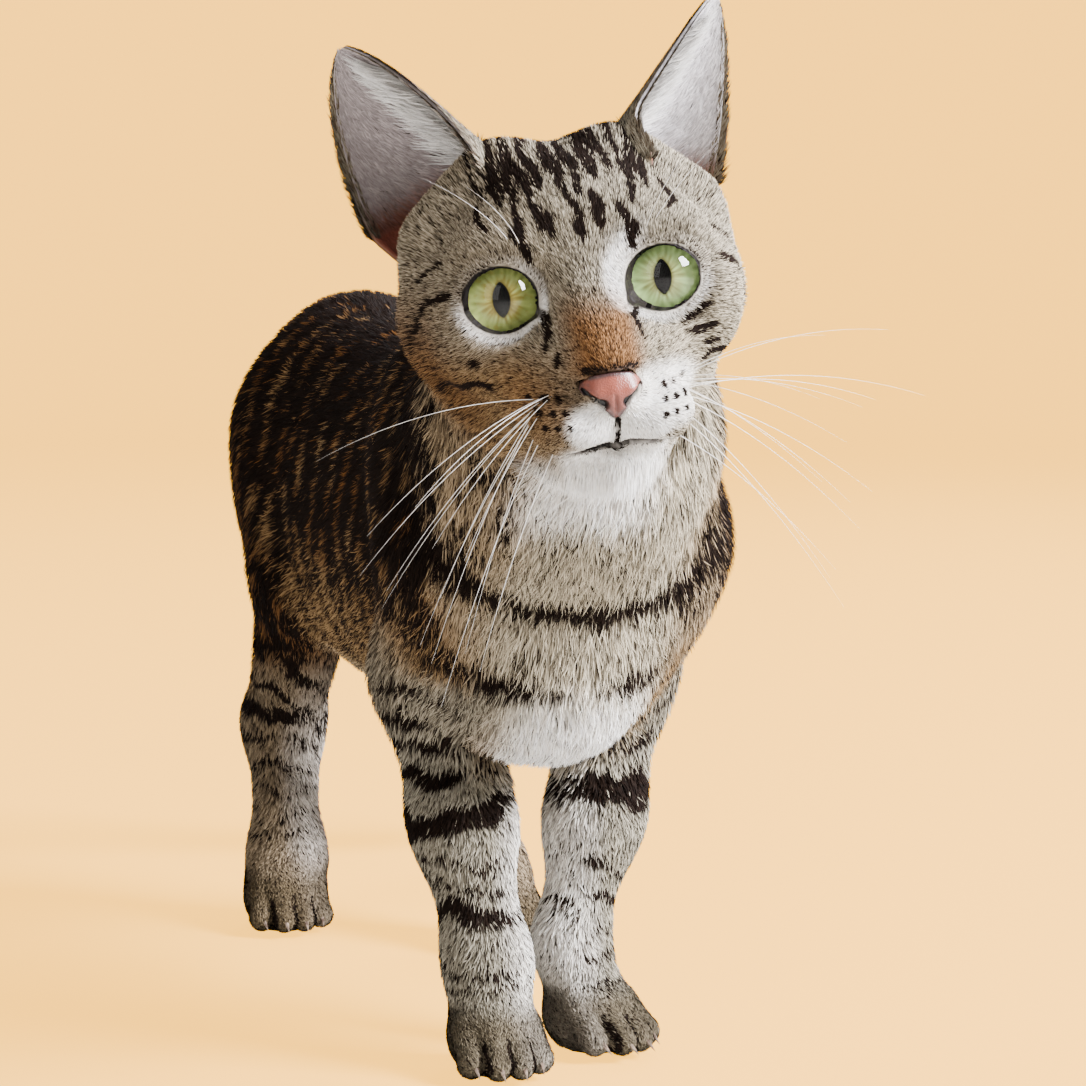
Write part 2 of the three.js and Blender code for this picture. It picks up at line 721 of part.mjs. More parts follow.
/** The tail as one closed loft of rings along its curve, with a round tip. */
function tailSolid() {
  const curve = new THREE.CatmullRomCurve3(TAIL_POINTS.map((point) => new THREE.Vector3(...point)));
  const frames = curve.computeFrenetFrames(TAIL_STEPS, false);
  const vertices = [];
  const triangles = [];
  for (let step = 0; step <= TAIL_STEPS; step += 1) {
    const t = step / TAIL_STEPS;
    const place = t * (TAIL_RADII.length - 1);
    const n = Math.min(Math.floor(place), TAIL_RADII.length - 2);
    const radius = THREE.MathUtils.lerp(TAIL_RADII[n], TAIL_RADII[n + 1], place - n);
    const round = step === TAIL_STEPS ? 0.45 : 1;
    const centre = curve.getPoint(t).addScaledVector(frames.tangents[step], round < 1 ? radius * 0.4 : 0);
    for (let side = 0; side < TAIL_SIDES; side += 1) {
      const angle = (side / TAIL_SIDES) * Math.PI * 2;
      const spoke = new THREE.Vector3()
        .addScaledVector(frames.normals[step], Math.cos(angle))
        .addScaledVector(frames.binormals[step], Math.sin(angle));
      vertices.push(...spoke.multiplyScalar(radius * round).add(centre).toArray());
      if (step === 0) continue;
      const here = step * TAIL_SIDES + side;
      const next = step * TAIL_SIDES + ((side + 1) % TAIL_SIDES);
      triangles.push(here, here - TAIL_SIDES, next - TAIL_SIDES, here, next - TAIL_SIDES, next);
    }
  }
  for (let side = 1; side < TAIL_SIDES - 1; side += 1) {
    const last = TAIL_STEPS * TAIL_SIDES;
    triangles.push(0, side + 1, side, last, last + side, last + side + 1);
  }
  return solidOf(vertices, triangles);
}

const TAIL_PARTS = ['tail_root', 'tail_upper', 'tail_lower', 'tail_tip'];
const TAIL_CUTS = [2, 4, 6]; // the curve's points just before each cut

function addTail() {
  const cuts = TAIL_CUTS.map((n) => flip(acrossBone(TAIL_POINTS[n], TAIL_POINTS[n + 1], 0.5)));
  const seat = facets(
    (x, y, z) => Math.min(torso(x, y, z), hind(x, y, z)) - SEAT * 3,
    ...boxAbout(TAIL_POINTS.slice(0, 3), 40),
    FACET.shank,
  );
  const whole = tailSolid();
  TAIL_PARTS.forEach((name, n) => {
    const planes = [];
    if (n > 0) planes.push(cuts[n - 1]);
    if (n < cuts.length) planes.push(flip(cuts[n]));
    const length = whole.intersect(region(planes, -GAP / 2));
    addNode(name, n === 0 ? length.subtract(seat) : length, coat(COAT_DARK));
  });
}

addHead();
addTorso();
addForelegs();
addHindlegs();
addTail();

// The origin is under the middle of the whole cat's box, on the floor.
const bounds = new THREE.Box3().setFromObject(cat);
const middle = bounds.getCenter(new THREE.Vector3());
cat.position.set(-middle.x, -middle.y, -bounds.min.z);
cat.updateMatrixWorld(true);

export default cat;
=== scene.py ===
"""A brown tabby cat standing, at life size: its skin, coat, eyes, nose, claws and whiskers.

The body is drawn as one smooth shape of eggs and bone-like tapers in millimetres, in the
cat's own measure: it faces -Y, its left is +X, and the floor is z = 0. The whole is then
placed where the two eyes of the frame lie.
"""

import math

import bmesh
import bpy
import numpy as np
from mathutils import Matrix, Vector
from mathutils.bvhtree import BVHTree


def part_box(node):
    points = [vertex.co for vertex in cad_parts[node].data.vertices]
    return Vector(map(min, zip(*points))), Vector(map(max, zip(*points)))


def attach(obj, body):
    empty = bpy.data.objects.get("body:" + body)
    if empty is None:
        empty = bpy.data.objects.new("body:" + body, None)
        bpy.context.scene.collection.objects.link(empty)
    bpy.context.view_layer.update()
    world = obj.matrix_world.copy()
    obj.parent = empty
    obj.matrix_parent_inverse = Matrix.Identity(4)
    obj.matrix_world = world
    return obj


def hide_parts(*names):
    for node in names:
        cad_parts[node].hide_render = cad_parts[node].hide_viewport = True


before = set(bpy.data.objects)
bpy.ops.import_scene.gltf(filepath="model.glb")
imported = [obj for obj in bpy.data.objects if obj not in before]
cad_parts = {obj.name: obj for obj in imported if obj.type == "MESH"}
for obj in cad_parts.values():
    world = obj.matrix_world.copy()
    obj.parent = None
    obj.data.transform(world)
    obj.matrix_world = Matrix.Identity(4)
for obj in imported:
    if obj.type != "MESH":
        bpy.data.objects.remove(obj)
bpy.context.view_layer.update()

# ------------------------------------------------------------------ driving sizes, mm and degrees

HEAD_AT = np.array([-26.0, -229.0, 246.0])  # the middle between the eyes
HEAD_TURN, HEAD_NOD, HEAD_ROLL = 10.0, 7.0, 8.0  # to its right, down, left side up
EYE_SPREAD = 22.0
EYE_RADIUS = 11.3
LID_RADIUS = 12.5
FAR = 900.0  # a distance given to points that are nowhere near a shape

FORELEGS = {
    "right": dict(
        shoulder=(-27, -131, 166), elbow=(-28.5, -90, 121), middle=(-21.5, -102, 76), wrist=(-17, -113, 34),
        paw=(-17, -122, 0), heading=2, girth=(23.5, 17, 14.6, 12), paw_width=30),
    "left": dict(
        shoulder=(28.5, -128, 162), elbow=(34, -90, 119), middle=(24, -97, 74), wrist=(15.5, -98, 34),
        paw=(22.5, -105, 0), heading=-22, girth=(24.5, 17.5, 13.8, 10.4), paw_width=30),
}
HINDLEGS = {
    "right": dict(
        hip=(-19, 100, 186), stifle=(-27, 66, 138), hock=(-23, 124, 74), ankle=(-26, 108, 24),
        paw=(-29.5, 97, 0), heading=2, girth=(25, 20, 13.5, 12.4), paw_width=31),
    "left": dict(
        hip=(19, 96, 186), stifle=(29, 26, 136), hock=(32, 74, 72), ankle=(36, 51, 24),
        paw=(37, 38, 0), heading=-6, girth=(25, 20, 13.5, 12.4), paw_width=31),
}
TOES = ((-0.36, 14), (-0.123, 19), (0.123, 19), (0.36, 14))  # place across the paw, and reach
TOE_GAPS = (-0.2415, 0.0, 0.2415)  # places across the paw
TAIL_POINTS = ((0, 128, 212), (5, 156, 196), (14, 174, 164), (28, 184, 128), (46, 190, 94), (66, 194, 66),
               (86, 198, 52), (104, 203, 54), (116, 208, 66))
TAIL_GIRTH = (19, 17.5, 16, 15, 14, 13, 12, 11, 8.5)
EARS = {  # facing: how far the opening turns to the left; cut: how much of the inner edge is left off
    "left": dict(foot=(36, 28, 22), tip=(52, 38, 70), facing=55, cut=0.42),
    "right": dict(foot=(-36, 28, 22), tip=(-54, 38, 69), facing=-37, cut=0.08),
}
EAR_HALF_WIDTH = 21.0
EAR_BLUNTNESS, EAR_TAPER = 1.9, 0.75  # how far up the outline stays wide, and how it closes at the tip
EAR_WALL = 1.3
EAR_LOW, EAR_HIGH, EAR_SIDE = -0.46, 0.985, 0.985  # how far the leaf reaches down, up and to its rims
SKIN_CELL = 2.7  # edge of the skin's plain facets; the head and feet have half of it, the face a quarter


def smooth(low, high, value):
    """0 up to low, 1 from high on, with an easy slope between; low may be the larger."""
    t = np.clip((value - low) / (high - low), 0.0, 1.0)
    return t * t * (3.0 - 2.0 * t)


def bell(value, width):
    return np.exp(-(value / width) ** 2)


def unit(vectors):
    return vectors / np.maximum(np.sqrt((vectors**2).sum(-1, keepdims=True)), 1e-9)


def turned(x, y, z, order="XYZ"):
    """The turn by x, y and z degrees, as one matrix for columns."""
    turns = {axis: Matrix.Rotation(math.radians(angle), 3, axis) for axis, angle in zip("XYZ", (x, y, z))}
    whole = turns[order[0]] @ turns[order[1]] @ turns[order[2]]
    return np.array(whole)


HEAD_TURNED = turned(HEAD_NOD, -HEAD_ROLL, -HEAD_TURN, "ZXY")


def on_head(p):
    """The head's own measure: x to its left, y back, z up, from the middle between the eyes."""
    return ((p - HEAD_AT) @ HEAD_TURNED).astype(p.dtype)


def from_head(h):
    return np.asarray(h, float) @ HEAD_TURNED.T + HEAD_AT


def waves(p, size, seed, count=9):
    """A smooth random field of about -1 to 1, whose swells are about size across."""
    rng = np.random.default_rng(seed)
    ways = unit(rng.normal(size=(count, 3))) * rng.uniform(0.6, 1.5, (count, 1)) * (2 * math.pi / size)
    starts = rng.uniform(0, 2 * math.pi, count)
    total = np.zeros(len(p))
    for way, start in zip(ways, starts):
        total += np.sin(p @ way + start)
    return total / math.sqrt(count) * 1.1


# ------------------------------------------------------------------ shape rules: distances, minus inside


def egg(p, centre, half, turns=None):
    q = p - np.array(centre, p.dtype)
    if turns:
        q = q @ turned(*turns).astype(p.dtype)
    half = np.array(half, p.dtype)
    q = q / half
    near = np.sqrt((q * q).sum(1))
    q /= half
    slope = np.sqrt((q * q).sum(1))
    return near * (near - 1) / np.maximum(slope, 1e-6)


def bone(p, a, b, ra, rb):
    a = np.array(a, p.dtype)
    axis = np.array(b, p.dtype) - a
    length2 = float(axis @ axis)
    fall = ra - rb
    slant2 = length2 - fall * fall
    q = p - a
    along = q @ axis
    off = q * length2 - along[:, None] * axis
    off2 = (off * off).sum(1)
    along2 = along * along * length2
    beyond = along - length2
    beyond2 = beyond * beyond * length2
    k = np.sign(fall) * fall * fall * off2
    side = (np.sqrt(off2 * slant2 / length2) + along * fall) / length2 - ra
    foot = np.sqrt(off2 + along2) / length2 - ra
    head = np.sqrt(off2 + beyond2) / length2 - rb
    d = np.where(np.sign(along) * slant2 * along2 < k, foot, side)
    return np.where(np.sign(beyond) * slant2 * beyond2 > k, head, d)


def blend(fillet, *shapes):
    d = shapes[0]
    for other in shapes[1:]:
        h = np.maximum(fillet - np.abs(d - other), 0) / fillet
        d = np.minimum(d, other) - h * h * fillet / 4
    return d


def carve(fillet, shape, tool):
    h = np.maximum(fillet - np.abs(shape + tool), 0) / fillet
    return np.maximum(shape, -tool) + h * h * fillet / 4


def mirrored(p):
    m = p.copy()
    m[:, 0] = np.abs(m[:, 0])
    return m


def near(p, low, high, shape):
    """The shape's distance inside a box, and far outside it, which saves time."""
    inside = np.all((p > np.array(low)) & (p < np.array(high)), axis=1)
    d = np.full(len(p), FAR, p.dtype)
    if inside.any():
        d[inside] = shape(p[inside])
    return d


def limb(p, fillet, points, girth):
    lengths = [bone(p, a, b, ra, rb) for a, b, ra, rb in zip(points, points[1:], girth, girth[1:])]
    return blend(fillet, *lengths)


# ------------------------------------------------------------------ the body's shape


def face_shape(h):
    m = mirrored(h)
    skull = blend(
        14,
        egg(h, (0, 36, 3), (38, 42, 33)),
        egg(m, (28, 29, -9), (22, 28, 22)),
        egg(h, (0, 8, 14), (27, 19, 19)),
        bone(m, (17, 28, 27), (34, 27, 14), 12, 11),
    )
    jaw = bone(m, (17, 16, -31), (6, -14, -41), 17, 9)
    brow = egg(m, (18, 1, 13), (14, 9, 7))
    cheekbone = egg(m, (23, 1, -15), (14, 9, 8))
    snout = egg(h, (0, -9, -22), (24, 20, 20))
    temple = egg(m, (30, 6, -4), (11, 14, 13))
    bridge = bone(h, (0, -3, 4), (0, -26.5, -17), 12, 8)
    pads = egg(m, (9.5, -23, -32), (13, 12.5, 9.5))
    chin = egg(h, (0, -20, -42.5), (9, 9, 6.5))
    nose = egg(h, (0, -32, -24.5), (8.2, 5, 6.5))
    face = blend(10, blend(16, skull, jaw, cheekbone, temple), brow, snout)
    face = blend(6, face, bridge)
    face = blend(4, face, pads, chin)
    return blend(5, face, nose)


def torso_shape(p):
    m = mirrored(p)
    trunk = blend(
        24,
        egg(p, (0, -66, 166), (46.5, 92, 66)),
        egg(p, (0, -124, 156), (43, 36, 46)),
        egg(p, (0, 26, 165), (44, 88, 66)),
        egg(p, (0, 92, 187), (41, 60, 51)),
        bone(m, (14, -84, 214), (26, -128, 172), 20, 24),
    )
    neck = limb(p, 16, ((1, -108, 188), (-6, -156, 201), (-16, -186, 221)), (46, 44, 38))
    sternum = bone(p, (0, -120, 124), (0, -30, 130), 27, 28)
    return blend(20, trunk, neck, sternum)


def from_paw(leg, ahead, left, up):
    """A point given ahead of, to the left of and above a paw's middle."""
    angle = math.radians(leg["heading"])
    x, y, z = leg["paw"]
    return (
        x - ahead * math.sin(angle) + left * math.cos(angle),
        y - ahead * math.cos(angle) - left * math.sin(angle),
        z + up,
    )


def paw_shape(p, leg):
    width = leg["paw_width"]
    toes = []
    for across, reach in TOES:
        knuckle = from_paw(leg, reach - 13, across * width * 0.85, 13.5)
        end = from_paw(leg, reach - 3.5, across * width, 6.6)
        toes.append(bone(p, knuckle, end, 5.2, 4.9))
    palm = egg(p, from_paw(leg, -4, 0, 10), (width * 0.44, 17, 12.5), (0, 0, -leg["heading"]))
    return blend(1.2, palm, *toes)


def foreleg_shape(p, leg):
    points = (leg["shoulder"], leg["elbow"], leg["middle"], leg["wrist"])
    pastern = bone(p, leg["wrist"], from_paw(leg, -4, 0, 14), leg["girth"][3], 12)
    return blend(8, blend(12, limb(p, 14, points, leg["girth"]), pastern), paw_shape(p, leg))


def hindleg_shape(p, leg):
    hip, stifle = np.array(leg["hip"]), np.array(leg["stifle"])
    thigh = egg(p, (hip + stifle) / 2 + (0, 12, 0), (22, 42, 46), (-24, 0, 0))
    points = (leg["hip"], leg["stifle"], leg["hock"], leg["ankle"])
    pastern = bone(p, leg["ankle"], from_paw(leg, -2, 0, 13), leg["girth"][3], 12)
    return blend(8, blend(14, thigh, limb(p, 14, points, leg["girth"]), pastern), paw_shape(p, leg))


def curve_through(points, steps):
    """Points along a smooth curve through the given ones (Catmull-Rom)."""
    points = np.array(points, float)
    ends = np.vstack([2 * points[0] - points[1], points, 2 * points[-1] - points[-2]])
    places = np.linspace(0, len(points) - 1, steps)
    n = np.minimum(places.astype(int), len(points) - 2)
    t = (places - n)[:, None]
    a, b, c, d = ends[n], ends[n + 1], ends[n + 2], ends[n + 3]
    return 0.5 * (2 * b + (c - a) * t + (2 * a - 5 * b + 4 * c - d) * t**2 + (3 * b - a - 3 * c + d) * t**3)


TAIL_CURVE = curve_through(TAIL_POINTS, 17)
TAIL_RADII = np.interp(np.linspace(0, 8, 17), range(9), TAIL_GIRTH)
LEGS = {
    "fore_left": (FORELEGS["left"], foreleg_shape, (-10, -180, -5), (75, -50, 205)),
    "fore_right": (FORELEGS["right"], foreleg_shape, (-75, -180, -5), (15, -50, 205)),
    "hind_left": (HINDLEGS["left"], hindleg_shape, (-20, -20, -5), (75, 160, 245)),
    "hind_right": (HINDLEGS["right"], hindleg_shape, (-75, 0, -5), (20, 190, 245)),
}


def part_distances(p):
    """How far each point is from the head, torso, legs and tail, each taken alone."""
    parts = {"torso": torso_shape(p)}
    for name, (leg, shape, low, high) in LEGS.items():
        parts[name] = near(p, low, high, lambda q, leg=leg, shape=shape: shape(q, leg))
    parts["head"] = near(p, HEAD_AT - (80, 70, 95), HEAD_AT + (80, 120, 75), lambda q: face_shape(on_head(q)))
    parts["tail"] = near(p, (-30, 105, 20), (145, 235, 240), lambda q: limb(q, 1.5, TAIL_CURVE, TAIL_RADII))
    return parts


def joined(parts):
    fore = np.minimum(parts["fore_left"], parts["fore_right"])
    hind = np.minimum(parts["hind_left"], parts["hind_right"])
    body = blend(14, blend(16, parts["torso"], fore, hind), parts["head"])
    return blend(10, body, parts["tail"])


def belonging(parts):
    """How much each point belongs to the head, to each leg and to the tail, from 0 to 1."""
    return {name: smooth(-5, 9, parts["torso"] - parts[name]) for name in ("head", "tail", *LEGS)}


# ------------------------------------------------------------------ the skin's shape


def coat_depth(p, h, share):
    """How deep the skin lies under the tips of the coat."""
    depth = 4.0 + 1.2 * smooth(-105, -150, p[:, 1]) * smooth(235, 205, p[:, 2])
    for name in ("fore_left", "fore_right"):
        leg = 3.4 - 1.9 * smooth(115, 70, p[:, 2]) - 0.8 * smooth(34, 20, p[:, 2])
        depth += (leg - depth) * share[name]
    for name in ("hind_left", "hind_right"):
        leg = 3.8 - 2.2 * smooth(120, 80, p[:, 2]) - 0.8 * smooth(45, 22, p[:, 2])
        depth += (leg - depth) * share[name]
    depth += (3.4 - depth) * share["tail"]
    side = np.abs(h[:, 0])
    cheeks = 2.4 * smooth(22, 38, side) * smooth(8, -12, h[:, 2]) * smooth(-12, 12, h[:, 1])
    head = 0.9 + 1.3 * smooth(-12, 22, h[:, 1]) + cheeks + 1.6 * smooth(20, 55, h[:, 1])
    head += 1.6 * smooth(-44, -58, h[:, 2]) * smooth(-22, 0, h[:, 1])
    head -= 0.4 * smooth(-20, -32, h[:, 1])
    depth += (head - depth) * share["head"]
    return depth


GAZE = unit(np.array([-0.2, -0.97, 0.085]))  # where both eyes look, on the head's measure
GAZE_UP = unit(np.array([0.0, 0.0, 1.0]) - GAZE * GAZE[2])
GAZE_LEFT = np.cross(GAZE_UP, GAZE)
LID_WIDE, LID_HIGH = 9.5, 8.6  # half the opening of the lids
WELL_AHEAD = -2.0  # how far ahead of the eye's middle the bottom of the opening of the lids lies
BARE_AHEAD = WELL_AHEAD - 0.6  # what lies ahead of this, inside the lids, has no coat


def eye_measure(h):
    """For each point, by the nearer eye: its way across (towards the nose), up and ahead of the
    eye's middle, all on the eye's own gaze, and its distance from that middle."""
    side = np.where(h[:, 0] < 0, -1.0, 1.0)
    q = h - np.stack([side * EYE_SPREAD, 0 * side, 0 * side], 1)
    inward = -side[:, None] * GAZE_LEFT
    r = np.sqrt((q * q).sum(1))
    return (q * inward).sum(1), (q * GAZE_UP).sum(1), (q * GAZE).sum(1), r


def lid_edge(inward, up):
    """Distance outside the edge of the lids, seen along the eye's gaze."""
    rho = np.hypot(inward, up)
    angle = np.arctan2(up, inward)
    edge = 1 / np.sqrt((np.cos(angle) / LID_WIDE) ** 2 + (np.sin(angle) / LID_HIGH) ** 2)
    edge += 1.0 * bell(angle + 0.5, 0.2) + 0.4 * bell(np.abs(angle) - math.pi + 0.25, 0.3)
    return rho - edge


def with_sockets(d, h):
    """Hollows the face round each eye."""
    return carve(5, d, egg(mirrored(h), (EYE_SPREAD + 1.4, -13.5, 0.5), (9.6, 8.6, 9.6)))


def with_lids(d, h):
    """Lays the lids over each eyeball in its hollow, and opens them to a bowl that passes under
    the front of the ball."""
    inward, up, ahead, r = eye_measure(h)
    d = blend(3.5, with_sockets(d, h), r - LID_RADIUS)
    edge = lid_edge(inward, up)
    d = d + 0.6 * bell(edge - 3.2, 0.9) * smooth(-2, 4, up) * smooth(16, 13, r)
    opening = np.maximum(np.maximum(edge, -ahead), EYE_RADIUS - 0.9 - r)
    return carve(0.9, d, opening)


def without_lids(d, h):
    """The same face with its eyes closed, which has no thin edges."""
    return blend(3.5, with_sockets(d, h), eye_measure(h)[3] - LID_RADIUS)


def mouth_line(side):
    """How high the closed mouth runs, by the way out from the middle of the face."""
    return -37.6 - 0.012 * side**2 - 1.6 * bell(side, 2.2)


NOSE_MIDDLE, NOSE_TOP, NOSE_BOTTOM = -0.5, -18.0, -29.9
NOSE_WIDTHS = ((0, 0.12, 0.26, 0.45, 0.65, 0.85, 1), (5.4, 7.6, 8.3, 7.3, 4.6, 2.2, 0.9))
NOSE_BED = 3.6  # how deep the skin lies under the nose leather


def nose_half(z):
    return np.interp((NOSE_TOP - z) / (NOSE_TOP - NOSE_BOTTOM), *NOSE_WIDTHS)


def nose_outline(x, z):
    """Distance outside the edge of the nose leather, seen from the front."""
    off = np.abs(x - NOSE_MIDDLE)
    return np.maximum(off - nose_half(z), np.maximum(z - NOSE_TOP + 0.02 * off**2, NOSE_BOTTOM - z))


def with_mouth(d, h):
    """Presses in the line of the mouth, the cleft of the lip and the bed of the nose leather."""
    side = np.abs(h[:, 0])
    front = smooth(-8, -16, h[:, 1])
    lips = 1.5 * bell(h[:, 2] - mouth_line(side), 0.95) * smooth(17, 13, side) * front
    cleft = 0.6 * bell(h[:, 0], 0.9) * smooth(-28, -31, h[:, 2]) * smooth(-41, -38, h[:, 2]) * front
    bed = NOSE_BED * smooth(-0.4, -1.6, nose_outline(h[:, 0], h[:, 2])) * smooth(-22, -26, h[:, 1])
    return d + lips + cleft + bed


def skin_shape(p, closed=False):
    parts = part_distances(p)
    h = on_head(p)
    d = joined(parts) + coat_depth(p, h, belonging(parts)).astype(p.dtype)
    face = (parts["head"] < 25) & (h[:, 1] < 18)
    if face.any():
        lids = without_lids if closed else with_lids
        d[face] = with_mouth(lids(d[face], h[face]), h[face])
    return np.maximum(d, 0.1 - p[:, 2])


def unpressed_skin_shape(p):
    """The skin without eyes, mouth and nose bed."""
    parts = part_distances(p)
    return joined(parts) + coat_depth(p, on_head(p), belonging(parts))


def plain_skin_shape(p):
    return skin_shape(p, closed=True)


# ------------------------------------------------------------------ from shape to mesh


def grid_values(field, low, high, cell):
    """The field at the points of an even grid: exact near the surface, rough elsewhere."""
    counts = [int(math.ceil((b - a) / (4 * cell))) for a, b in zip(low, high)]
    rough_lines = [a + np.arange(n + 1) * 4 * cell for a, n in zip(low, counts)]
    rough = field(np.stack(np.meshgrid(*rough_lines, indexing="ij"), -1).reshape(-1, 3).astype(np.float32))
    rough = rough.reshape([n + 1 for n in counts])
    lines = [a + np.arange(4 * n + 1) * cell for a, n in zip(low, counts)]
    near_by = np.abs(rough) < 9 * cell
    for axis in range(3):
        for shift in (1, -1):
            near_by |= np.roll(near_by, shift, axis)
    whole = rough
    wanted = near_by
    for axis in range(3):
        place = np.minimum((np.arange(len(lines[axis])) + 2) // 4, counts[axis])
        whole = np.take(whole, place, axis)
        wanted = np.take(wanted, place, axis)
    whole = whole.copy()
    at = np.argwhere(wanted)
    points = np.stack([lines[axis][at[:, axis]] for axis in range(3)], 1).astype(np.float32)
    for start in range(0, len(points), 200000):
        some = at[start:start + 200000]
        whole[some[:, 0], some[:, 1], some[:, 2]] = field(points[start:start + 200000])
    return lines, whole


def net(lines, values):
    """A closed net of four-sided facets through the cells that the surface crosses."""
    cells = np.array(values.shape) - 1
    total = np.zeros((int(cells.prod()), 4))
    quads = []
    for axis in range(3):
        second, third = (axis + 1) % 3, (axis + 2) % 3
        low = np.take(values, range(cells[axis]), axis)
        high = np.take(values, range(1, cells[axis] + 1), axis)
        at = np.argwhere((low < 0) != (high < 0))
        at = at[np.all((at[:, [second, third]] > 0) & (at[:, [second, third]] < cells[[second, third]]), 1)]
        a = low[tuple(at.T)]
        b = high[tuple(at.T)]
        crossing = at.astype(float)
        crossing[:, axis] += a / (a - b)
        corners = []
        for back_second, back_third in ((1, 1), (0, 1), (0, 0), (1, 0)):
            cell = at.copy()
            cell[:, second] -= back_second
            cell[:, third] -= back_third
            flat = np.ravel_multi_index(cell.T, cells)
            corners.append(flat)
            for n in range(3):
                total[:, n] += np.bincount(flat, crossing[:, n], len(total))
            total[:, 3] += np.bincount(flat, minlength=len(total))
        quad = np.stack(corners, 1)
        quads.append(np.where((a < 0)[:, None], quad, quad[:, ::-1]))
    quads = np.concatenate(quads)
    used, quads = np.unique(quads, return_inverse=True)
    mean = total[used, :3] / total[used, 3:]
    step = np.array([line[1] - line[0] for line in lines])
    return np.array([line[0] for line in lines]) + mean * step, quads.reshape(-1, 4)


CORNER_WAYS = np.array([(1, 1, 1), (1, -1, -1), (-1, 1, -1), (-1, -1, 1)], float)


def slope(field, points, tiny=0.06):
    """The field's value and its slope at each point."""
    sides = [field(points + tiny * way) for way in CORNER_WAYS]
    gradient = sum(way * side[:, None] for way, side in zip(CORNER_WAYS, sides)) / (4 * tiny)
    return sum(sides) / 4, gradient


def settled(field, points, reach, passes):
    """The points moved along the field's slope until they lie on its surface."""
    for _ in range(passes):
        value, gradient = slope(field, points)
        move = value / np.maximum((gradient**2).sum(1), 1e-6)
        points = points - np.clip(move, -reach, reach)[:, None] * gradient
    return points


def mesh_of(name, points, faces):
    mesh = bpy.data.meshes.new(name)
    mesh.from_pydata(points, [], faces)
    return mesh


def in_frame(points):
    """Points of the cat's own measure as metres in the frame."""
    return (points + OFFSET) / 1000


def shade_smooth(mesh):
    mesh.polygons.foreach_set("use_smooth", np.ones(len(mesh.polygons), bool))


def built_mesh(piece):
    """The piece's mesh with its modifiers carried out."""
    evaluated = piece.evaluated_get(bpy.context.evaluated_depsgraph_get())
    return bpy.data.meshes.new_from_object(evaluated)


def points_of(mesh):
    flat = np.empty(len(mesh.vertices) * 3, np.float32)
    mesh.vertices.foreach_get("co", flat)
    return flat.reshape(-1, 3).astype(float)


def normals_of(mesh):
    flat = np.empty(len(mesh.vertices) * 3, np.float32)
    mesh.vertex_normals.foreach_get("vector", flat)
    return flat.reshape(-1, 3)


def set_points(mesh, points):
    mesh.vertices.foreach_set("co", np.asarray(points, np.float32).ravel())
    mesh.update()


def finer(mesh, wanted):
    """Halves the facets whose middles are wanted."""
    built = bmesh.new()
    built.from_mesh(mesh)
    built.faces.ensure_lookup_table()
    middles = np.array([face.calc_center_median() for face in built.faces])
    edges = {edge for i in np.flatnonzero(wanted(middles)) for edge in built.faces[i].edges}
    bmesh.ops.subdivide_edges(built, edges=list(edges), cuts=1, use_grid_fill=True)
    built.to_mesh(mesh)
    built.free()


def head_or_foot(p):
    h = on_head(p)
    head = (h[:, 1] < 46) & (h[:, 2] > -52) & (p[:, 2] > 170)
    return head | (p[:, 2] < 30)


def fine_face(p):
    h = on_head(p)
    side = np.abs(h[:, 0])
    eyes = np.hypot(side - EYE_SPREAD, h[:, 2]) < 17
    muzzle = (side < 19) & (h[:, 2] < -10)
    return (eyes | muzzle) & (h[:, 1] < -2) & (h[:, 2] > -52)


def body_mesh():
    low, high = (-86, -280, -4), (132, 226, 312)
    points, quads = net(*grid_values(plain_skin_shape, low, high, SKIN_CELL))
    points = settled(plain_skin_shape, points, SKIN_CELL / 3, 3)
    mesh = mesh_of("skin", points, quads)
    for wanted, reach, field in ((head_or_foot, 0.8, plain_skin_shape), (fine_face, 0.5, skin_shape)):
        finer(mesh, wanted)
        set_points(mesh, settled(field, points_of(mesh), reach, 2))
    set_points(mesh, behind_iris(settled(skin_shape, points_of(mesh), 0.6, 5)))
    return mesh


def behind_iris(points):
    """The points of the bowl under each eyeball, pushed back so that nothing lies before the iris."""
    h = on_head(points)
    inward, up, ahead, r = eye_measure(h)
    bowl = (lid_edge(inward, up) < -0.05) & (ahead > WELL_AHEAD) & (r < LID_RADIUS + 1)
    h[bowl] -= GAZE * (ahead[bowl] - WELL_AHEAD)[:, None]
    return from_head(h)


# ------------------------------------------------------------------ ears


def ear_half(up):
    """Half the ear's width, from its foot at 0 to its tip at 1."""
    return EAR_HALF_WIDTH * np.maximum(1 - up**EAR_BLUNTNESS, 0.012) ** EAR_TAPER


def ear_roll(up, half):
    """How far the ear's wall wraps round its line, as an angle, and the radius that it does so at."""
    wrap = np.radians(102 - 58 * up)
    return wrap, half / np.sin(np.minimum(wrap, math.pi / 2))


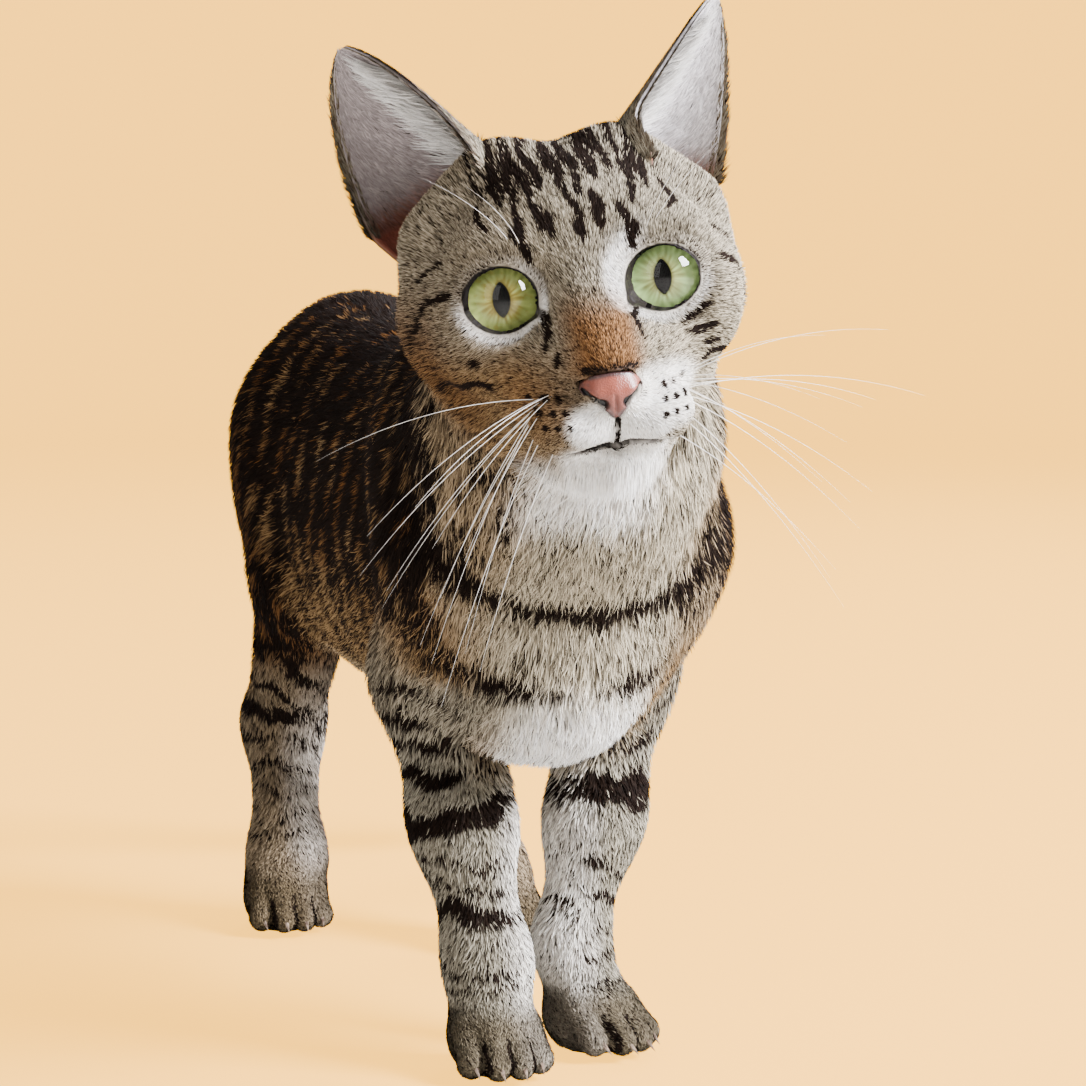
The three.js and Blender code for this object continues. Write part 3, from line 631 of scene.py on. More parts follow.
class Ear:
    """A thin leaf rolled round a line from its foot to its tip, open ahead and outwards."""

    def __init__(self, foot, tip, facing, cut):
        self.foot = np.array(foot, float)
        axis = np.array(tip, float) - self.foot
        self.height = float(np.linalg.norm(axis))
        self.axis = axis / self.height
        angle = math.radians(facing)
        front = np.array([math.sin(angle), -math.cos(angle), 0])
        self.front = unit(front - self.axis * (front @ self.axis))
        self.across = np.cross(self.axis, self.front)
        self.medial = -np.sign(self.across[0] * self.foot[0])  # which rim is nearer the head's middle
        self.cut = cut

    def leaf(self, v, u, off):
        """Points on the head's measure: v runs up, u across from rim to rim, off is out from the
        middle of the wall."""
        up = np.maximum(v, 0)
        wrap, radius = ear_roll(up, ear_half(up) * (1 + 1.15 * np.minimum(v, 0)))
        cut = self.cut * smooth(0.0, 0.35, up)
        theta = (u * (1 - 0.5 * cut) - self.medial * 0.5 * cut) * wrap
        thick = radius + off * (1 - 0.35 * up)
        return (
            self.foot
            + self.axis * (self.height * v)[:, None]
            + self.across * (thick * np.sin(theta))[:, None]
            + self.front * (radius * np.cos(wrap) - thick * np.cos(theta))[:, None]
        )

    def faces_in(self, h, n):
        """Whether the surface there is the ear's inside, by where its normal points."""
        up = np.clip((h - self.foot) @ self.axis / self.height, -0.4, 0.99)
        wrap, radius = ear_roll(np.maximum(up, 0), ear_half(np.maximum(up, 0)))
        line = self.foot + self.axis * (self.height * up)[:, None]
        middle = line + self.front * (radius * np.cos(wrap))[:, None]
        return ((h - middle) * n).sum(1) < 0


EAR = {side: Ear(**sizes) for side, sizes in EARS.items()}
EAR_ROWS, EAR_COLUMNS = 40, 36


def leaf_faces(rows, columns):
    """The facets of a closed leaf: a grid of points for its front, the same for its back, and the
    strips that join their edges."""
    wide, layer = columns + 1, (rows + 1) * (columns + 1)
    faces = []
    for row in range(rows):
        for column in range(columns):
            at = row * wide + column
            faces.append((at, at + wide, at + wide + 1, at + 1))
            faces.append((layer + at, layer + at + 1, layer + at + wide + 1, layer + at + wide))
        for at, way in ((row * wide, 1), (row * wide + columns, -1)):
            faces.append((at, layer + at, layer + at + wide, at + wide)[::way])
    for at in range(columns):
        end = at + rows * wide
        faces.append((at, at + 1, layer + at + 1, layer + at))
        faces.append((end + 1, end, layer + end, layer + end + 1))
    return faces


def ear_mesh(side):
    """The ear as one closed shell."""
    rows = np.linspace(EAR_LOW, EAR_HIGH, EAR_ROWS + 1)
    columns = np.linspace(-EAR_SIDE, EAR_SIDE, EAR_COLUMNS + 1)
    v, u = (grid.ravel() for grid in np.meshgrid(rows, columns, indexing="ij"))
    points = np.vstack([from_head(EAR[side].leaf(v, u, off)) for off in (EAR_WALL / 2, -EAR_WALL / 2)])
    return mesh_of("ear", points, leaf_faces(EAR_ROWS, EAR_COLUMNS))


def joined_mesh(base, others):
    """One closed mesh of the base and the others."""
    piece = bpy.data.objects.new("base", base)
    bpy.context.scene.collection.objects.link(piece)
    extra = []
    for mesh in others:
        other = bpy.data.objects.new("other", mesh)
        bpy.context.scene.collection.objects.link(other)
        step = piece.modifiers.new("join", "BOOLEAN")
        step.operation, step.solver, step.object = "UNION", "MANIFOLD", other
        extra.append(other)
    whole = built_mesh(piece)
    for gone in (piece, *extra):
        bpy.data.objects.remove(gone)
    return whole


# ------------------------------------------------------------------ colours and markings


def tint(code):
    """A colour given as six hex digits, as the light it sends back."""
    parts = np.array([int(code[i:i + 2], 16) for i in (0, 2, 4)]) / 255
    return np.where(parts <= 0.04045, parts / 12.92, ((parts + 0.055) / 1.055) ** 2.4)


INK = tint("120b07")  # stripes
RUST = tint("62401f")  # ground of the back
FAWN = tint("8a6f4c")  # warm ground of the flank and legs
ASH = tint("a39a86")  # grey ground of the face
CREAM = tint("cfbe9e")
WHITE = tint("f1ebe2")  # chin, throat and bib
TAUPE = tint("524631")  # paws
GINGER = tint("8f6034")  # bridge of the nose
GREY = tint("8d8675")  # ground of the lower legs
CHEST = ASH + 0.3 * (CREAM - ASH)
NAPE = FAWN + 0.4 * (RUST - FAWN)
SOLE = tint("3b2a24")
# painted shade: the right ear's inside, on the side away from the lamp, is a greyer copy of the left ear's
# pale inside
EAR_INSIDE_LIT_AND_SHADED = {"right": tint("b0a5a4"), "left": tint("e6e0e1")}
# the second colour is the inner skin at the ear's root: partly its pink skin, partly painted shade in the
# deep hollow
EAR_SKIN_BACK, EAR_SKIN_ROOT_AND_SHADE = tint("20160f"), tint("7a4436")
EAR_HAIR_BACK, EAR_HAIR_RIM = tint("2a1d13"), tint("5d4a39")
# the first colour is the inner hair at the ear's root: partly the pink skin showing, partly painted shade in
# the deep hollow
EAR_HAIR_ROOT_AND_SHADE, EAR_HAIR_LONG = tint("8a5c4a"), tint("f4f0ea")
LEATHER, LEATHER_LOW, LEATHER_RIM = tint("84402f"), tint("552a22"), tint("3a2220")
LEATHER_BLOTCH, NOSTRIL_TONE = tint("5d3731"), tint("0d0706")
# the last of these is painted shade, for the eyeball beyond the iris
IRIS_FLECK, PUPIL_RIM, PUPIL_TONE, BALL_SHADE = tint("7a5a24"), tint("5a4a1e"), tint("030303"), tint("120c0a")


def even(colour, count):
    """The same colour for each of that many points."""
    return np.repeat(colour[None], count, 0)


def toned(ground, colour, share):
    """The ground with that share of the colour laid over it."""
    return ground + (colour - ground) * np.atleast_1d(np.clip(share, 0, 1))[:, None]


def near_path(p, points, ends):
    """The distance to a line through the points, in widths: it tapers to the given shares."""
    points = np.array(points, float)
    best = np.full(len(p), 1e3)
    lengths = np.linalg.norm(np.diff(points, axis=0), axis=1)
    whole, run = lengths.sum(), 0.0
    for a, b, length in zip(points, points[1:], lengths):
        t = np.clip(((p - a) @ (b - a)) / length**2, 0, 1)
        off = np.linalg.norm(p - a - t[:, None] * (b - a), axis=1)
        along = (run + t * length) / whole
        width = np.interp(along, (0, 0.5, 1), (ends[0], 1, ends[1]))
        best = np.minimum(best, off / width)
        run += length
    return best


# Dark marks as (width, points): those of the face on the head's own measure, the rest on the body's.
FOREHEAD_MARKS = (
    (3.3, ((-15.1, 21.4, 33.2), (-15.9, 1.1, 26.9), (-16.3, -6.1, 21.1))),
    (4.0, ((-16.1, -7.1, 19.8), (-16.5, -8.9, 16.1), (-15.2, -9.4, 9.7))),
    (3.7, ((-13.9, 16.9, 32.1), (-11.9, -1.5, 27.2), (-12.0, -5.9, 23.1))),
    (4.2, ((-11.4, -6.7, 22.3), (-8.7, -9.8, 17.0), (-7.3, -10.7, 14.2))),
    (3.3, ((-10.0, 17.0, 33.0), (-9.0, 4.4, 30.9), (-8.6, -3.9, 26.4))),
    (4.0, ((-3.8, 22.3, 32.9), (-3.5, -0.5, 29.9), (-2.6, -7.2, 23.8))),
    (3.3, ((-1.6, -8.1, 22.5), (-0.7, -10.5, 16.7), (-0.6, -12.0, 12.9))),
    (3.5, ((1.0, 13.9, 33.1), (0.8, -5.1, 26.6), (0.5, -7.6, 23.4))),
    (4.9, ((9.3, 34.5, 32.6), (5.6, 1.4, 30.6), (5.8, -3.4, 27.6))),
    (4.0, ((3.6, -6.3, 25.0), (4.7, -9.2, 19.8), (4.4, -10.8, 15.2))),
    (4.2, ((10.3, -8.3, 20.3), (12.0, -9.9, 15.4), (13.5, -9.8, 9.8))),
    (3.7, ((17, 14, 31), (15.5, -2, 27), (14.2, -8.4, 21))),
    (2.8, ((25, 6, 24.7), (26, -3, 20), (23.5, -6.5, 17.8))),
    (2.6, ((-26, 6, 24), (-25.5, -2, 20), (-24, -6, 17.5))),
    (2.8, ((21, 18, 31), (21, 4, 28), (20, -3, 24.5))),
    (3.1, ((-21, 18, 31), (-21, 4, 28), (-20, -3, 24.5))),
)
CHEEK_MARKS = (  # on both sides
    (3.9, ((36, -4.2, 2.6), (39.7, 0, 1.3), (41.8, 4.3, -1.8), (42.6, 10.6, -7.1), (43.3, 19, -13.1),
           (43, 30, -22))),
    (3.5, ((27.7, -8.2, -21.9), (32.3, -5.8, -20.2), (36.1, 6, -21.5), (39, 20, -26), (42, 38, -35))),
    (2.5, ((33, 4, 8), (38, 10, 5), (41, 17, 0))),
)
BELOW_EYE_MARKS = (  # down from the eyes' inner corners, then on the left cheek and the right one
    (3.3, ((-14.3, -8.5, -3.5), (-12.6, -15, -6.6), (-12.8, -18.7, -9.4), (-14.2, -20.5, -12.7))),
    (2.5, ((-11.4, -23.8, -14.2), (-12.1, -24.3, -16.7))),
    (3.1, ((10.5, -12.5, -5.1), (9.6, -20.5, -7.3), (9.8, -23.3, -10.7), (10.3, -24, -12.5))),
    (2.3, ((20.8, -13.3, -11.7), (25.5, -10, -9.9), (31.2, -9.3, -7.0))),
    (2.3, ((22.6, -13.7, -14.4), (27, -10.9, -14.4), (32.8, -9.2, -12.5))),
    (2.3, ((27.6, -10.2, -17.6), (32.5, -7.7, -17.3))),
    (2.9, ((-31.0, -9.6, -13.6), (-32.4, -8.8, -15.0))),
)
PAD_SPOTS = ((-24.4, 13.5, 3), (-27.4, 12.6, 3), (-30.8, 12.0, 3))  # height, first place out, how many
PAD_SPOT_STEP = 3.2
NECKLACE_MARKS = (  # round the chest, and on the sides of the neck
    (8.8, ((-42.7, -154, 172.4), (-34.2, -158.3, 163.2), (-22.6, -161.3, 157.2), (-9.9, -163.9, 154.6),
           (6.4, -162.9, 154.2), (22.1, -158.1, 157), (34.6, -154.5, 165.2), (46.3, -142.9, 174.4))),
    (11.0, ((-51, -142, 190), (-47, -150, 179), (-41, -155, 170.5), (-32, -159, 161.5), (-20, -162, 156.5))),
    (9.9, ((18, -160, 155.6), (30, -156.5, 161.4), (40, -150, 169.5), (48, -140, 178), (52, -130, 190))),
    (7.7, ((-33.6, -137, 136.2), (-23, -144.2, 131.9), (-12.7, -149.2, 129.4), (-5.4, -150.8, 128.3))),
    (7.3, ((8, -151, 129), (18.1, -147.5, 131.4), (28, -142, 135))),
    (9.9, ((-50, -120, 222), (-48, -150, 207), (-42, -172, 197))),
    (9.9, ((46, -112, 222), (50, -135, 205), (47, -156, 193))),
)
SHOULDER_MARKS = (  # round the tops of the forelegs
    (5.4, ((-47, -92, 111), (-40.9, -100.2, 112.1), (-31.9, -111.4, 113.3))),
    (4.4, ((-32.7, -120.3, 121.4), (-28.5, -127, 120), (-24.5, -133.1, 118.6))),
    (5.6, ((-31.1, -108.6, 106.9), (-20.2, -113, 104.2), (-12, -112.7, 100.6))),
    (4.2, ((-45, -96, 121), (-37, -110, 126), (-28, -122, 129))),
    (3.4, ((26.7, -106.8, 99.5), (34.6, -105.6, 101.1), (42, -101, 105))),
    (3.4, ((30, -110, 112), (38, -106, 115), (45, -99, 119))),
)

# Bands round the legs: (height on the leg, half thickness, how dark, from the front 0 to all round 1,
# lean of the band in height per way outwards).
LEG_BANDS = {
    "fore_right": ((105, 2.5, 0.9, 0.6, -0.1), (94.7, 2.4, 0.9, 0.7, -0.1), (83.2, 4.5, 1.0, 1.0, -0.22),
                   (67.4, 1.6, 0.5, 0.5, 0), (60.2, 1.7, 0.6, 0.5, 0.05), (51.5, 3.7, 0.85, 0.8, 0.12),
                   (31.5, 1.8, 0.6, 0.5, 0.12), (27, 1.5, 0.5, 0.4, 0)),
    "fore_left": ((100.5, 1.7, 0.6, 0.6, 0.15), (86.2, 5.9, 1.0, 1.0, 0.0), (62.4, 1.8, 0.7, 0.6, -0.25),
                  (51.5, 1.9, 0.75, 0.7, -0.3), (42.5, 1.6, 0.4, 0.4, 0), (33.2, 1.8, 0.7, 0.7, 0),
                  (24.5, 1.6, 0.6, 0.6, 0), (21.5, 1.4, 0.5, 0.6, 0)),
    "hind_right": ((128, 3.3, 0.85, 1, 0.8), (115, 3.1, 0.8, 1, 0.8), (102, 3.3, 0.95, 1, 0.8),
                   (89, 2.5, 0.9, 1, 0.8), (81.5, 3.4, 1.0, 1, 0.2), (70.3, 1.8, 0.7, 0.8, 0),
                   (60.3, 1.8, 0.65, 0.7, 0), (52.3, 1.7, 0.6, 0.6, 0), (44, 1.7, 0.5, 0.6, 0),
                   (36, 1.7, 0.5, 0.6, 0)),
}
LEG_BANDS["hind_left"] = LEG_BANDS["hind_right"]
FLANK_LINE_STEP = 19.0
TAIL_RING_STEP = 24.0


def laid(lines, head=True):
    """The lines smoothed and laid on the skin, so that width is measured along it."""
    drawn = []
    for width, points in lines:
        points = curve_through(points, 4 * len(points) - 3)
        points = settled(unpressed_skin_shape, from_head(points) if head else points, 3.0, 6)
        drawn.append((width, on_head(points) if head else points))
    return drawn


def marks(h, lines, roughness=0.25, seed=5):
    """How strongly the lines cover each point, with frayed edges."""
    fray = 1 + roughness * waves(h, 4.5, seed)
    dark = np.zeros(len(h))
    for width, points in lines:
        distance = near_path(h, points, (0.55, 0.45)) / (0.5 * width)
        dark = np.maximum(dark, smooth(1.75, 0.6, distance / fray))
    return dark


def head_ground_and_side_light(x, y, z):
    """The ground of the face: warmer on its right and low down, paler on its left. The warmth is partly the
    coat's own tone and partly painted shade on the right side, away from the lamp; the paler left is painted
    light.
    """
    right = smooth(4, -26, x)
    colour = toned(even(ASH, len(x)), FAWN, 0.1 + 0.2 * right + 0.65 * right * smooth(-6, -20, z))
    colour = toned(colour, RUST, 0.75 * smooth(-22, -36, x) * smooth(10, -12, z) * smooth(-14, 4, y))
    return toned(colour, CREAM, 0.25 * smooth(0, 20, x) * smooth(6, -10, z))


def pale_eye_rim(x, edge, inward, up):
    """The share of white round the lids, most of it below them and beside the nose."""
    medial = smooth(1, 9, inward)
    pale = bell(edge - 1.5, 1.25) * (0.08 + 0.6 * smooth(3, -4, up) + 0.4 * medial)
    return pale + 0.85 * bell(edge - 4.2, 3.0) * medial * smooth(0, 6, x) * smooth(-8, -2, up)


def pale_muzzle(x, y, z):
    """The shares of white on the whisker pads (the left one's is wider), the chin and the throat."""
    side = np.abs(x)
    pads = smooth(1.25, 0.8, np.hypot((side - 4) / 9.0, (z + 32) / 6.8)) * smooth(-12, -20, y)
    left_pad = smooth(1.3, 0.7, np.hypot((x - 13) / 13, (z + 27) / 8))
    pads += left_pad * smooth(-4, -14, y) * smooth(2, 10, x) * 0.75
    chin = smooth(17, 11, side) * smooth(-35, -39, z) * smooth(8, -6, y)
    throat = smooth(26, 14, side) * smooth(-40, -48, z) * smooth(-80, -62, z) * smooth(46, 32, y)
    return pads, chin, throat


def head_dark(h, nape, edge, inward, up):
    """The share of dark hair on the head, from its marks, crown, nape, eye rims and mouth, with painted shade
    on its far right side.
    """
    x, y, z = h.T
    side = np.abs(x)
    lengthwise = 0.5 + 0.5 * np.cos(x * 2 * math.pi / 9 + 1.3 * waves(h, 20, 6))
    crown = smooth(20, 27, z) * smooth(-8, 4, y) * smooth(31, 20, side)
    mouth = smooth(1.5, 0.7, np.abs(z - mouth_line(side))) * smooth(14.5, 12, side) * smooth(-12, -18, y)
    cleft = smooth(1.2, 0.5, np.abs(x)) * smooth(-28.5, -30, z) * smooth(-40, -38, z) * smooth(-22, -27, y)
    shares = [
        0.9 * marks(h, LINES["forehead"]),
        0.85 * marks(mirrored(h), LINES["cheek"]),
        0.9 * marks(h, LINES["below eye"], 0.15),
        nape * (0.35 + 0.6 * lengthwise),
        # painted shade: the far right side of the head, away from the lamp, is painted darker
        0.3 * smooth(-20, -38, x) * smooth(20, 0, z) * smooth(-12, 4, y),
        crown * (0.58 + 0.4 * np.cos(x * 2 * math.pi / 4.8 + waves(h, 14, 3))),
        smooth(0.8, 0.3, edge - 0.5 * smooth(2, -5, inward) * smooth(-3, 3, up)),
        0.9 * bell(z + 17.6, 1.4) * smooth(8.5, 6.5, side) * smooth(-24, -30, y),
        mouth,
        cleft,
    ]
    for height, first, count in PAD_SPOTS:
        for n in range(count):
            spot = smooth(1.2, 0.6, np.hypot(side - first - PAD_SPOT_STEP * n, z - height - 0.1 * n))
            shares.append(0.85 * spot * smooth(4, -2, y))
    return np.maximum.reduce(shares)


def head_colours(h):
    """The ground colour, the share of dark hair and the share of ticked hair on the head."""
    x, y, z = h.T
    side = np.abs(x)
    inward, up, ahead, _ = eye_measure(h)
    edge = lid_edge(inward, up) + np.where(ahead < BARE_AHEAD, 20, 0)
    eye_rim = pale_eye_rim(x, edge, inward, up)
    pads, chin, throat = pale_muzzle(x, y, z)
    bridge = smooth(13, 5, side) * smooth(4, -8, z) * smooth(-24, -17, z) * smooth(-10, -20, y)
    # partly the coat's own golden hair and partly painted shade: the right cheek, away from the lamp, is
    # painted warmer and darker
    cheek = 0.55 * smooth(4, -26, x) * bell(z + 25, 8) * smooth(-30, -20, x) * smooth(0, -12, y)
    nape = smooth(26, 50, y) * smooth(-45, -20, z)
    colour = toned(head_ground_and_side_light(x, y, z), WHITE, eye_rim)
    colour = toned(colour, GINGER, 0.9 * bridge)
    colour = toned(colour, GINGER, cheek)
    colour = toned(colour, WHITE, np.maximum(np.maximum(pads, chin), 0.8 * throat))
    colour = toned(colour, NAPE, 0.85 * nape)
    ticked = (1 - np.maximum(pads, chin)) * (1 - 0.7 * np.clip(eye_rim, 0, 1)) * (1 - 0.5 * throat)
    return colour, head_dark(h, nape, edge, inward, up), np.clip(ticked, 0.05, 1)


def flank_dark(p):
    """The share of dark hair on the trunk: dark all over, parted by thin pale lines from the spine
    down, which widen as they fall."""
    x, y, z = p.T
    drift = 5 * waves(p, 60, 11) + 2 * waves(p, 22, 12)
    place = (y + 0.25 * (z - 160) + drift) / FLANK_LINE_STEP
    line = np.abs(place - np.round(place)) * FLANK_LINE_STEP
    low = smooth(175, 118, z)
    width = 1.7 + 3.8 * low
    pale_line = smooth(width + 1.2, width - 0.8, line) * smooth(-0.75, 0.2, waves(p, 17, 13))
    dark = 0.93 * (1 - pale_line) * (1 - 0.45 * low)
    spine = smooth(11, 6, np.abs(x)) * smooth(180, 200, z)
    return np.maximum(dark, spine * smooth(-150, -120, y))


def torso_colours(p):
    """The ground colour, the share of dark hair and the share of ticked hair on trunk and neck."""
    x, y, z = p.T
    belly = smooth(118, 102, z) * smooth(-120, -100, y)
    wide = np.maximum(np.abs(x) - 16, 0)
    outer = np.where(x < 0, 0.8, 0.7) * wide
    front = smooth(-120, -146, y + outer) * smooth(232, 214, z)
    lateral = smooth(4, 22, wide)
    bib = smooth(30, 12, np.abs(x - 3)) * smooth(136, 112, z) * smooth(-112, -126, y)
    throat = smooth(26, 10, np.abs(x + 14)) * smooth(174, 188, z) * smooth(-172, -184, y)
    arm = smooth(-84, -100, y) * smooth(134, 124, z) * smooth(-14, -26, x) * (1 - bib)
    colour = toned(even(RUST, len(p)), FAWN, smooth(175, 118, z))
    colour = toned(colour, FAWN, 0.35 + 0.4 * waves(p, 30, 14))
    colour = toned(colour, CREAM * 0.8, belly)
    colour = toned(colour, CHEST, front)
    colour = toned(colour, FAWN, 0.7 * front * lateral)
    colour = toned(colour, WHITE, np.maximum(0.95 * bib, 0.8 * throat))
    colour = toned(colour, GREY, 0.9 * arm)
    streak = smooth(0.1, 0.9, waves(p * (1.0, 1.0, 0.3), 7, 15))
    dark = flank_dark(p) * (1 - 0.75 * belly)
    dark = dark * (1 - front) + front * (0.08 + 0.2 * streak + 0.5 * lateral * (0.35 + 0.65 * streak))
    dark = dark * (1 - 0.9 * np.maximum(bib, 0.9 * throat))
    dark = dark * (1 - 0.85 * arm)
    dark = np.maximum(dark, 0.9 * marks(p, LINES["necklace"], 0.35, 16) * smooth(-60, -100, y))
    return colour, dark, np.clip(0.95 - 0.25 * front - 0.6 * np.maximum(bib, throat), 0, 1)


def leg_bands(p, name, outward, ahead, inner):
    """The share of dark hair of the bands round a leg, with uneven edges."""
    dark = np.zeros(len(p))
    height = p[:, 2] + 1.6 * waves(p, 16, 21)
    for at, half, strength, round_it, lean in LEG_BANDS[name]:
        reach = smooth(-1.2, 0.2, ahead / 9 + (round_it - 0.5) * 3) * (1 - 0.35 * inner)
        half = half * (0.85 + 0.3 * waves(p, 13, 22))
        band = smooth(half + 1.5, half - 1.0, np.abs(height - at - lean * outward))
        dark = np.maximum(dark, band * strength * reach)
    return dark


def shade_between_toes(x, y, z, leg):
    """Painted shade in the partings between the toes, given as a share of dark hair."""
    paw_x, paw_y, _ = leg["paw"]
    angle = math.radians(leg["heading"])
    forward = -(x - paw_x) * math.sin(angle) - (y - paw_y) * math.cos(angle)
    across = ((x - paw_x) * math.cos(angle) - (y - paw_y) * math.sin(angle)) / leg["paw_width"]
    gap = np.min([np.abs(across - place) for place in TOE_GAPS], axis=0) * leg["paw_width"]
    return 0.85 * smooth(1.1, 0.3, gap) * smooth(4, 9, forward) * smooth(17, 12, z)


def leg_colours(p, name):
    """The ground colour, the share of dark hair and the share of ticked hair on one leg."""
    x, y, z = p.T
    leg = LEGS[name][0]
    outward = (1 if name.endswith("left") else -1) * (x - leg["paw"][0])
    joints = ("paw", "ankle", "hock", "stifle") if "hip" in leg else ("paw", "wrist", "middle", "elbow")
    ahead = np.interp(z, (0, 30, 75, 125), [leg[joint][1] for joint in joints]) - y
    inner = smooth(2, -10, outward)
    top = smooth(95, 135, z)
    colour = toned(even(GREY, len(p)), WHITE, 0.4 * inner * smooth(120, 90, z))
    colour = toned(colour, FAWN, 0.7 * smooth(2, -8, ahead) * (1 - inner) + 0.25 * top)
    dark = leg_bands(p, name, outward, ahead, inner)
    if "hip" in leg:
        thigh = smooth(96, 114, z)
        fade = 1 - 0.25 * smooth(40, 60, z)
        colour = toned(toned(colour, FAWN, 0.55) * fade[:, None], RUST, 0.9 * thigh)
        line = (y * 0.9 + z * 0.45 + 4 * waves(p, 40, 24)) / 15
        stripe = smooth(0.17, 0.27, np.abs(line - np.round(line)))
        dark = np.maximum(dark, thigh * (0.3 + 0.55 * stripe) * (1 - 0.5 * inner))
    paw = smooth(26, 17, z)
    colour = toned(colour, TAUPE, 0.75 * paw)
    colour = toned(colour, WHITE, 0.35 * inner * smooth(100, 60, z) * smooth(20, 34, z))
    colour = toned(colour, SOLE, smooth(1.6, 0.6, z))
    # painted shade: the furrows between the toes are painted dark here
    dark = np.maximum(dark * (1 - 0.5 * paw), shade_between_toes(x, y, z, leg))
    return colour, dark, np.clip(0.62 - 0.2 * inner + 0.25 * top, 0, 1)


def tail_colours(p):
    """The ground colour, the share of dark hair and the share of ticked hair on the ringed tail."""
    run = np.zeros(len(p))
    best = np.full(len(p), 1e9)
    lengths = np.linalg.norm(np.diff(TAIL_CURVE, axis=0), axis=1)
    for n, (a, b) in enumerate(zip(TAIL_CURVE, TAIL_CURVE[1:])):
        t = np.clip(((p - a) @ (b - a)) / lengths[n] ** 2, 0, 1)
        off = np.linalg.norm(p - a - t[:, None] * (b - a), axis=1)
        closer = off < best
        best[closer] = off[closer]
        run[closer] = (lengths[:n].sum() + t * lengths[n])[closer]
    ring = 0.5 + 0.5 * np.cos((run + 3 * waves(p, 20, 31)) * 2 * math.pi / TAIL_RING_STEP)
    dark = 0.15 + 0.8 * smooth(0.35, 0.6, ring)
    dark = np.maximum(dark, smooth(lengths.sum() - 34, lengths.sum() - 22, run))
    return toned(even(FAWN, len(p)), RUST, 0.4), dark, np.ones(len(p))


def coat_colours(p, share):
    """Ground colour, share of dark hair and share of ticked hair, all over the body."""
    whole = np.column_stack(torso_colours(p))
    makers = {name: (lambda q, name=name: leg_colours(q, name)) for name in LEGS}
    makers["tail"] = tail_colours
    makers["head"] = lambda q: head_colours(on_head(q))
    for name, maker in makers.items():
        some = share[name] > 0.001
        if some.any():
            over = np.column_stack(maker(p[some]))
            whole[some] += (over - whole[some]) * share[name][some][:, None]
    bars = 0.9 * marks(p, LINES["shoulder"], 0.35, 17) * (1 - share["head"])
    return whole[:, :3], np.clip(np.maximum(whole[:, 3], bars), 0, 1), whole[:, 4]


def skin_colours(p, n):
    """Colours for the skin's own points: the coat's markings, darker, partly as the undercoat and partly as
    painted shade deep under the coat, and the ears' own.
    """
    h = on_head(p)
    parts = part_distances(p)
    colour, dark, ticked = coat_colours(p, belonging(parts))
    # painted shade: the skin under the coat is pulled towards ink and dimmed to 0.8, partly the darker
    # undercoat and partly the shade deep in the fur
    colour = toned(colour, INK, np.maximum(dark, 0.25 * ticked)) * 0.8
    off_body = joined(parts) > -0.3
    for side in EAR:
        mine = off_body & (np.sign(h[:, 0]) == (1 if side == "left" else -1)) & (h[:, 2] > 8)
        mine &= (h[:, 1] > 2) & (h[:, 1] < 70)
        if mine.any():
            colour[mine] = ear_tone(side, h[mine], n[mine] @ HEAD_TURNED)
    return colour


def ear_tone(side, h, n):
    """The ear's own skin: dark behind, and pale inside down to its root, which is painted warmer and darker:
    partly its pink skin, partly painted shade in the deep hollow.
    """
    ear = EAR[side]
    v = ((h - ear.foot) @ ear.axis) / ear.height
    outer = toned(even(EAR_SKIN_BACK, len(h)), FAWN, 0.4 * smooth(0.3, 0.0, v))
    # painted shade: the skin inside is 0.75 of the inner hair's colour, as the shade under that hair, and
    # darkens further to the root
    inner = toned(even(EAR_INSIDE_LIT_AND_SHADED[side] * 0.75, len(h)), EAR_SKIN_ROOT_AND_SHADE, smooth(0.2, 0.0, v))
    return np.where(ear.faces_in(h, n)[:, None], inner, outer)


# ------------------------------------------------------------------ the lie, length and thickness of the coat

NOSE_AT = np.array([0.0, -37.0, -23.0])  # the hair of the head lies away from here
REGIONS = {
    "head": "coat_ticked",
    "fore": "coat_ticked",
    "hind": "coat_pale",
    "torso": "coat_dark",
    "tail": "coat_dark",
}
LOCKS_IN_PIECE = 95000  # each lock is two triangles
PATCH = 0.003  # what each lock covers of the unwrap
LOWEST_HAIR = 0.4  # mm above the floor


def coat_lie(p, h, share):
    """Which way the hair points, before it is laid along the surface."""
    x, y, z = p.T
    one = np.ones(len(p))
    lean = np.sign(x) * smooth(0, 20, np.abs(x))
    front = smooth(-108, -150, y) * smooth(236, 214, z)
    back = np.stack([0.1 * lean, one, -0.3 - 0.35 * smooth(10, 45, np.abs(x))], 1)
    down = np.stack([0.16 * lean, 0.3 * one, -one], 1)
    way = unit(back + (down - back) * front[:, None])
    for name, (leg, *_) in LEGS.items():
        angle = math.radians(leg["heading"])
        ahead = np.array([-math.sin(angle), -math.cos(angle), -0.35])
        leg_way = np.stack([0 * one, 0.25 * one, -one], 1)
        leg_way = leg_way + (ahead - leg_way) * smooth(30, 17, z)[:, None]
        way = way + (unit(leg_way) - way) * share[name][:, None]
    nearest = np.argmin(((p[:, None] - TAIL_CURVE[None, :-1]) ** 2).sum(2), 1)
    tail_way = unit(np.diff(TAIL_CURVE, axis=0))[nearest]
    way = way + (tail_way - way) * share["tail"][:, None]
    side = np.abs(h[:, 0])
    head_way = unit(h - NOSE_AT)
    head_way[:, 1] += 0.2 + 0.6 * smooth(0, 30, h[:, 1])
    head_way[:, 2] -= 0.45 * smooth(16, 34, side) * smooth(16, 0, h[:, 2])
    inward, up, ahead, _ = eye_measure(h)
    close = smooth(7, 1, lid_edge(inward, up)) * smooth(0, 4, ahead)
    middle = np.stack([np.sign(h[:, 0]) * EYE_SPREAD, 0 * side, 0 * side], 1)
    head_way = unit(head_way) + 1.6 * close[:, None] * unit(h - middle)
    head_way = unit(head_way) @ HEAD_TURNED.T
    return way + (head_way - way) * share["head"][:, None]


